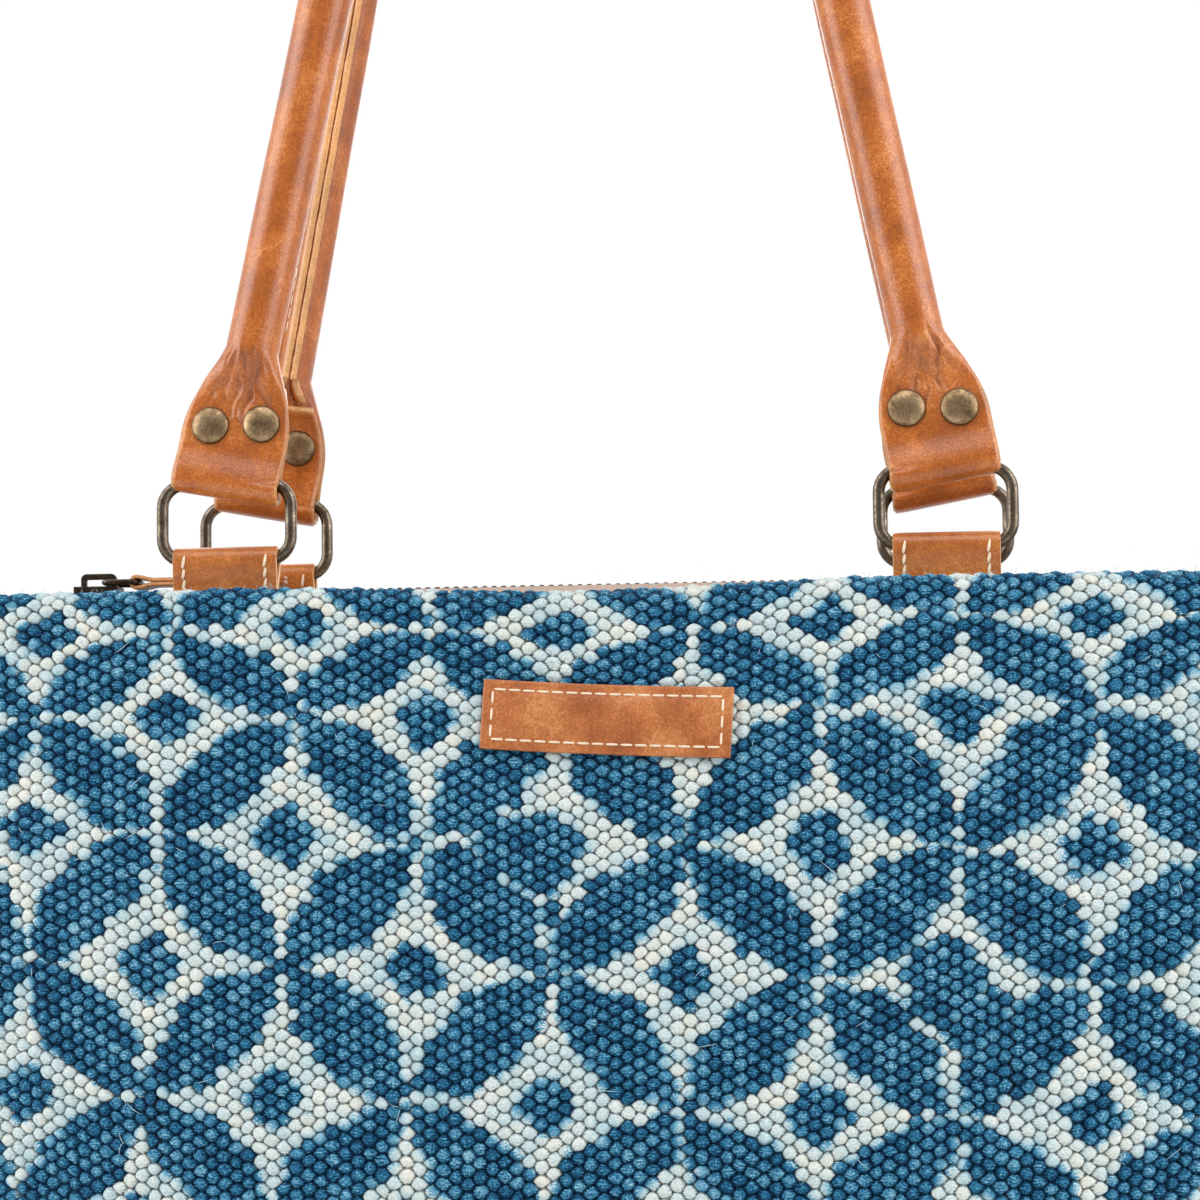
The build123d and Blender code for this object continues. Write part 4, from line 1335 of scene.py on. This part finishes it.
def gather_crease(wide, z, mirrored):
    """How far the leather stands out at one place across a tab, or sinks into a crease."""
    crease = 0.0
    for middle, spread, deep, top, bottom, lean in gathers:
        phase = 9 * middle + (2.0 if mirrored else 0.0)
        sway = sum(reach * math.sin(z / run + times * phase) for reach, run, times in sways)
        strength = deep * smooth_step(bottom, bottom + gather_foot, z)
        strength *= 1 - smooth_step(top - gather_head, top, z)
        strength *= 0.8 + 0.35 * math.sin(z / gather_depth_run + 2 * phase)
        off = (wide - middle - sway - lean * (z - gather_middle_z) / mm) / spread
        crease += strength * (0.6 * math.exp(-((off - 1.6) ** 2)) - math.exp(-(off**2)))
    return crease


def leather_section(station, before, after, mirrored):
    """Points round one cross-section, creased under the roll where the leather is gathered."""
    heart, half_wide, half_thick, squareness, turn = station
    along = (after - before).normalized()
    wide_way = Vector((math.sin(turn), 0, math.cos(turn)))
    through = wide_way.cross(along).normalized()
    wide_way = along.cross(through).normalized()
    flatness = (squareness - round_section) / (flat_section - round_section)
    gathered = heart.y < gather_front_y and heart.x > 0.9 * neck_x
    points = []
    for side in range(section_sides):
        share = (2 * side / section_sides) % 1
        face = 1 if 2 * side < section_sides else -1
        wide = face * ((1 - flatness) * math.cos(math.pi * share) + flatness * (1 - 2 * share))
        thick = face * (1 - min(1.0, abs(wide)) ** squareness) ** (1 / squareness)
        crease = gather_crease(wide, heart.z, mirrored) if gathered else 0.0
        swell = math.sin(heart.z / swell_run_z + 2 * math.pi * share)
        swell += math.sin(heart.x / swell_run_x - 9 * share)
        swell = 1 + swell_share * swell
        offset = thick * half_thick * swell + face * crease * min(1.0, 2 * abs(thick))
        points.append(heart + wide_way * (wide * half_wide * swell) + through * offset)
    return points


section_rings = {}
for hand in ("right", "left"):
    rings = []
    for index, station in enumerate(half_stations):
        before = half_stations[max(0, index - 1)][0]
        after = half_stations[min(len(half_stations) - 1, index + 1)][0]
        if index == 0:
            before = Vector((-after.x, after.y, after.z))
        rings.append(leather_section(station, before, after, hand == "left"))
    section_rings[hand] = rings
left_rings = [[Vector((-point.x, point.y, point.z)) for point in ring] for ring in section_rings["left"]]
strip_rings = left_rings[:0:-1] + section_rings["right"]

# Cut edges: the pale raw sides of the flat tabs and the pared ends of their flaps
side_raw = 0.62
beside_raw = 0.1
pared_raw = 0.3
right_raw = []
for station in half_stations:
    flat = smooth_step(3.5, 6.5, station[3])
    ring_raw = [0.0] * section_sides
    for side in (0, section_sides // 2):
        ring_raw[side] = side_raw * flat
        ring_raw[side - 1] = beside_raw * flat
        ring_raw[side + 1] = beside_raw * flat
    right_raw.append(ring_raw)
right_raw[-1] = [1.0] * section_sides
right_raw[-2] = [pared_raw] * section_sides
strip_raw = right_raw[:0:-1] + right_raw


def handle_place(side):
    """From the handle's own frame, with the rings' upper bars on its X axis, to the bag."""
    front = Matrix.Translation((0, -bar_y, upper_bar_z)) @ Matrix.Rotation(-handle_lean, 4, "X")
    return front if side == "front" else Matrix.Rotation(math.pi, 4, "Z") @ front


def leather_handle(side):
    places = [handle_place(side) @ point for ring in strip_rings for point in ring]
    piece = new_piece(f"{side}_rolled_handle", places, tube_faces(len(strip_rings), section_sides))
    give_values(piece, "raw", strip_raw)
    face_outward(piece)
    return piece


# The seam: both cut edges of the strip stand side by side along the inner side of the roll and part above
# each tab. Its outline gives places across and up each layer, and how raw the leather is there.
seam_layer = 2.1 * mm
seam_room = 0.06 * mm
seam_lean = 3.0 * mm
seam_root = 6.0 * mm
seam_tip = 10.2 * mm
seam_stitch_y = 8.4 * mm
seam_stitch_out = 0.16 * mm
seam_stitch_end = 0.04
seam_end_z = 29.5 * mm
seam_end_rise = 1.1 * mm
seam_end_steps = 8
rolled_share = 0.99
seam_spread = 3.2 * mm
seam_spread_power = 1.2
seam_ragged = 0.16 * mm
seam_ragged_fine = 0.1 * mm
seam_outline = (
    (-0.5, 0.0, 0.0),
    (-0.5, 0.8, 0.1),
    (-0.38, 0.96, 0.8),
    (0.0, 1.0, 1.0),
    (0.38, 0.96, 0.8),
    (0.5, 0.8, 0.1),
    (0.5, 0.0, 0.0),
)
seam_path = []
for heart, half_wide, half_thick, squareness, turn in half_stations:
    if heart.y == 0 and half_thick >= rolled_share * roll_radius:
        seam_path.append((heart, Vector((math.sin(turn), 0, math.cos(turn))), 0.0, 1.0))
tab_across = Vector((math.sin(tab_turn), 0, math.cos(tab_turn)))
for step in range(1, seam_end_steps + 1):
    share = step / seam_end_steps
    z = neck_z + (seam_end_z - neck_z) * share
    heart, half_wide, half_thick, squareness = tab_station(z, -1)
    low = (half_thick + heart.y + seam_end_rise) / seam_tip
    seam_path.append((Vector((heart.x, 0, z)), tab_across, seam_spread * share**seam_spread_power, low))
full_seam = []
for heart, across, spread, low in seam_path[:0:-1]:
    full_seam.append((Vector((-heart.x, 0, heart.z)), Vector((-across.x, 0, across.z)), spread, low))
full_seam += seam_path
seam_run = [0.0]
for index in range(1, len(full_seam)):
    seam_run.append(seam_run[-1] + (full_seam[index][0] - full_seam[index - 1][0]).length)


def seam_edges(side):
    places = []
    faces = []
    cut = []
    for layer in (-1, 1):
        faces += tube_faces(len(full_seam), len(seam_outline), len(places), flip=True)
        for index, (heart, across, spread, low) in enumerate(full_seam):
            ragged = seam_ragged * math.sin(index * 2.3 + layer) + seam_ragged_fine * math.sin(index * 5.1)
            for wide, tall, bare in seam_outline:
                y = seam_root * low + ((seam_tip - seam_root) * low + ragged) * tall
                shift = layer * (seam_layer / 2 + seam_room + spread) + wide * seam_layer - seam_lean * tall
                places.append(handle_place(side) @ (heart + across * shift + Vector((0, y, 0))))
                cut.append(bare)
    piece = new_piece(f"{side}_handle_seam", places, faces)
    give_values(piece, "raw", cut)
    face_outward(piece)
    return piece


def seam_stitches(side):
    turned = handle_place(side).to_3x3()
    lean = seam_lean * (seam_stitch_y - seam_root) / (seam_tip - seam_root)
    seats = []
    spot = seam_stitch_end * seam_run[-1]
    while spot < (1 - seam_stitch_end) * seam_run[-1]:
        index = max(place for place in range(len(seam_run) - 1) if seam_run[place] <= spot)
        share = (spot - seam_run[index]) / (seam_run[index + 1] - seam_run[index])
        heart = full_seam[index][0].lerp(full_seam[index + 1][0], share)
        across = full_seam[index][1]
        along = full_seam[index + 1][0] - full_seam[index][0]
        for layer in (-1, 1):
            shift = layer * (seam_layer + seam_stitch_out) - lean
            seat = heart + across * shift + Vector((0, seam_stitch_y, 0))
            seats.append((handle_place(side) @ seat, turned @ along, turned @ (across * layer)))
        spot += stitch_pitch
    return sewn_thread(f"{side}_handle_thread", seats, stitch_length, stitch_width)


for side in ("front", "back"):
    dress(leather_handle(side), handle_leather, f"{side}_handle", "handle_leather", f"{side}_handle")
    dress(seam_edges(side), handle_leather, f"{side}_handle", "handle_leather")
    dress(seam_stitches(side), waxed_thread, f"{side}_handle", "handle_leather")

# Rivets: pressed brass caps, two through each tab, domed, with a rolled rim darkened partly by patina and
# partly by painted shade where it meets the leather.
# Each step of a cap narrows it by a share and rises by millimetres.
rivet_radius = 5 * mm
rivet_spacing = 13.8 * mm
rivet_seat_y = tab_layer + layer_room
rivet_sides = 40
rim_patina_and_shade = 0.85
rim_from = 0.86
cap_steps = (
    (1.0, 0.55),
    (0.97, 0.3),
    (0.93, 0.22),
    (0.88, 0.26),
    (0.85, 0.22),
    (0.8, 0.18),
    (0.7, 0.12),
    (0.5, 0.06),
)
bpy.ops.object.select_all(action="DESELECT")
bpy.ops.mesh.primitive_circle_add(vertices=rivet_sides, radius=rivet_radius, fill_type="NGON")
cap = bpy.context.object
bpy.ops.object.mode_set(mode="EDIT")
bpy.ops.mesh.select_all(action="SELECT")
for narrowing, rise in cap_steps:
    bpy.ops.mesh.extrude_region_move(TRANSFORM_OT_translate={"value": (0, 0, rise * mm)})
    bpy.ops.transform.resize(value=(narrowing, narrowing, 1))
bpy.ops.mesh.select_all(action="SELECT")
bpy.ops.mesh.normals_make_consistent(inside=False)
bpy.ops.object.mode_set(mode="OBJECT")
cap_places = [Vector(vertex.co) for vertex in cap.data.vertices]
cap_faces = [tuple(polygon.vertices) for polygon in cap.data.polygons]
bpy.data.objects.remove(cap)
# Patina and painted shade: the outer rim of each cap is darkened towards the patina colour
cap_radii = [math.hypot(place.x, place.y) / rivet_radius for place in cap_places]
cap_patina_and_shade = [rim_patina_and_shade * smooth_step(rim_from, 1.0, radius) for radius in cap_radii]
rivet_x = loop_x + (neck_x - loop_x) * rivet_z / neck_z
rivet_metal = antique_metal("antique_rivet_brass", rgb("#4E3D2E"), rgb("#987E5E"), rgb("#C2A985"), 0.4)
for side in ("front", "back"):
    places = []
    faces = []
    patina_and_shade = []
    for sign in (-1, 1):
        for shift in (-rivet_spacing / 2, rivet_spacing / 2):
            for way in (-1, 1):
                seat = Matrix.Translation((sign * (rivet_x + shift), way * rivet_seat_y, rivet_z))
                seat = handle_place(side) @ seat @ Matrix.Rotation(-way * math.pi / 2, 4, "X")
                faces += [tuple(len(places) + corner for corner in face) for face in cap_faces]
                places += [seat @ place for place in cap_places]
                patina_and_shade += cap_patina_and_shade
    rivets = new_piece(f"{side}_rivets", places, faces)
    give_values(rivets, "patina_and_shade", patina_and_shade)
    dress(rivets, rivet_metal, f"{side}_handle", "rivet_metal", f"{side}_handle_rivets")

# Floor, light and camera: a pale sheet of card that fades to white with distance, large soft lamps at both
# sides, a weaker one above the front and one behind. Lengths here are in metres.
floor_size = 6.0
fade_start = 0.35
fade_end = 1.3
white = (1.0, 1.0, 1.0, 1.0)
bpy.ops.object.select_all(action="DESELECT")
bpy.ops.mesh.primitive_plane_add(size=floor_size)
floor = bpy.context.object
floor.name = "floor"
floor_card, add_node = new_material("pale_card")
card = add_node("BsdfPrincipled", sockets={"Base Color": rgb("#F4F3F1"), "Roughness": 0.9})[0]
away = add_node("VectorMath", add_node("TexCoord")["Object"], operation="LENGTH")["Value"]
away = add_node("MapRange", away, fade_start, fade_end, interpolation_type="SMOOTHSTEP")[0]
seen = add_node("LightPath")["Is Camera Ray"]
away = add_node("Math", away, seen, operation="MULTIPLY")[0]
sweep = add_node("Emission", white, 1.0)[0]
add_node("OutputMaterial", add_node("MixShader", away, card, sweep)[0])
floor.data.materials.append(floor_card)

# Studio: white to the eye, an even weak fill, and in polished surfaces white but dim towards the viewer
fill_strength = 0.42
room_strength = 0.32
room_range = (-0.8, -0.1)
world = bpy.data.worlds.new("studio")
bpy.context.scene.world = world
world.use_nodes = True
world.node_tree.nodes.clear()
add_node = node_adder(world.node_tree)
path = add_node("LightPath")
backdrop = add_node("Math", path["Is Camera Ray"], path["Is Transmission Ray"], operation="MAXIMUM")[0]
plain = add_node("MapRange", backdrop, 0.0, 1.0, fill_strength, 1.0)[0]
toward = add_node("SeparateXYZ", add_node("TexCoord")["Generated"])[1]
mirrored_room = add_node("MapRange", toward, *room_range, room_strength, 1.0)[0]
glossy = {0: path["Is Glossy Ray"], 2: plain, 3: mirrored_room}
strength = add_node("Mix", sockets=glossy, data_type="FLOAT")[0]
add_node("OutputWorld", add_node("Background", white, strength)[0])

# Lamps: where each stands, the height it is turned to, its width and height, and its power in watts
lamps = (
    ("left_softbox", (-1.6, -0.5, 1.0), 0.35, 1.4, 1.5, 22),
    ("right_softbox", (1.6, -0.5, 1.0), 0.35, 1.4, 1.5, 22),
    ("top_softbox", (0.0, -0.9, 1.9), 0.3, 1.4, 1.0, 11),
    ("back_softbox", (0.0, 1.9, 1.2), 0.3, 1.6, 1.2, 16),
)
for name, place, aim_height, width, height, power in lamps:
    light = bpy.data.lights.new(name, "AREA")
    light.shape = "RECTANGLE"
    light.size = width
    light.size_y = height
    light.energy = power
    lamp = bpy.data.objects.new(name, light)
    bpy.context.scene.collection.objects.link(lamp)
    lamp.location = place
    lamp.rotation_euler = (Vector((0, 0, aim_height)) - Vector(place)).to_track_quat("-Z", "Y").to_euler()

view_place = Vector((0.0909, -0.9011, 0.279))
view_yaw = math.radians(5.65)
view_pitch = math.radians(4.35)
view_roll = math.radians(0.7)
camera_data = bpy.data.cameras.new("camera")
camera_data.lens = 100.3
camera_data.sensor_width = 36
camera_data.clip_start = 0.01
camera = bpy.data.objects.new("camera", camera_data)
bpy.context.scene.collection.objects.link(camera)
aim = Matrix.Rotation(view_yaw, 4, "Z") @ Matrix.Rotation(math.pi / 2 + view_pitch, 4, "X")
camera.matrix_world = Matrix.Translation(view_place) @ aim @ Matrix.Rotation(-view_roll, 4, "Z")
bpy.context.scene.camera = camera
bpy.context.scene.view_settings.view_transform = "Standard"
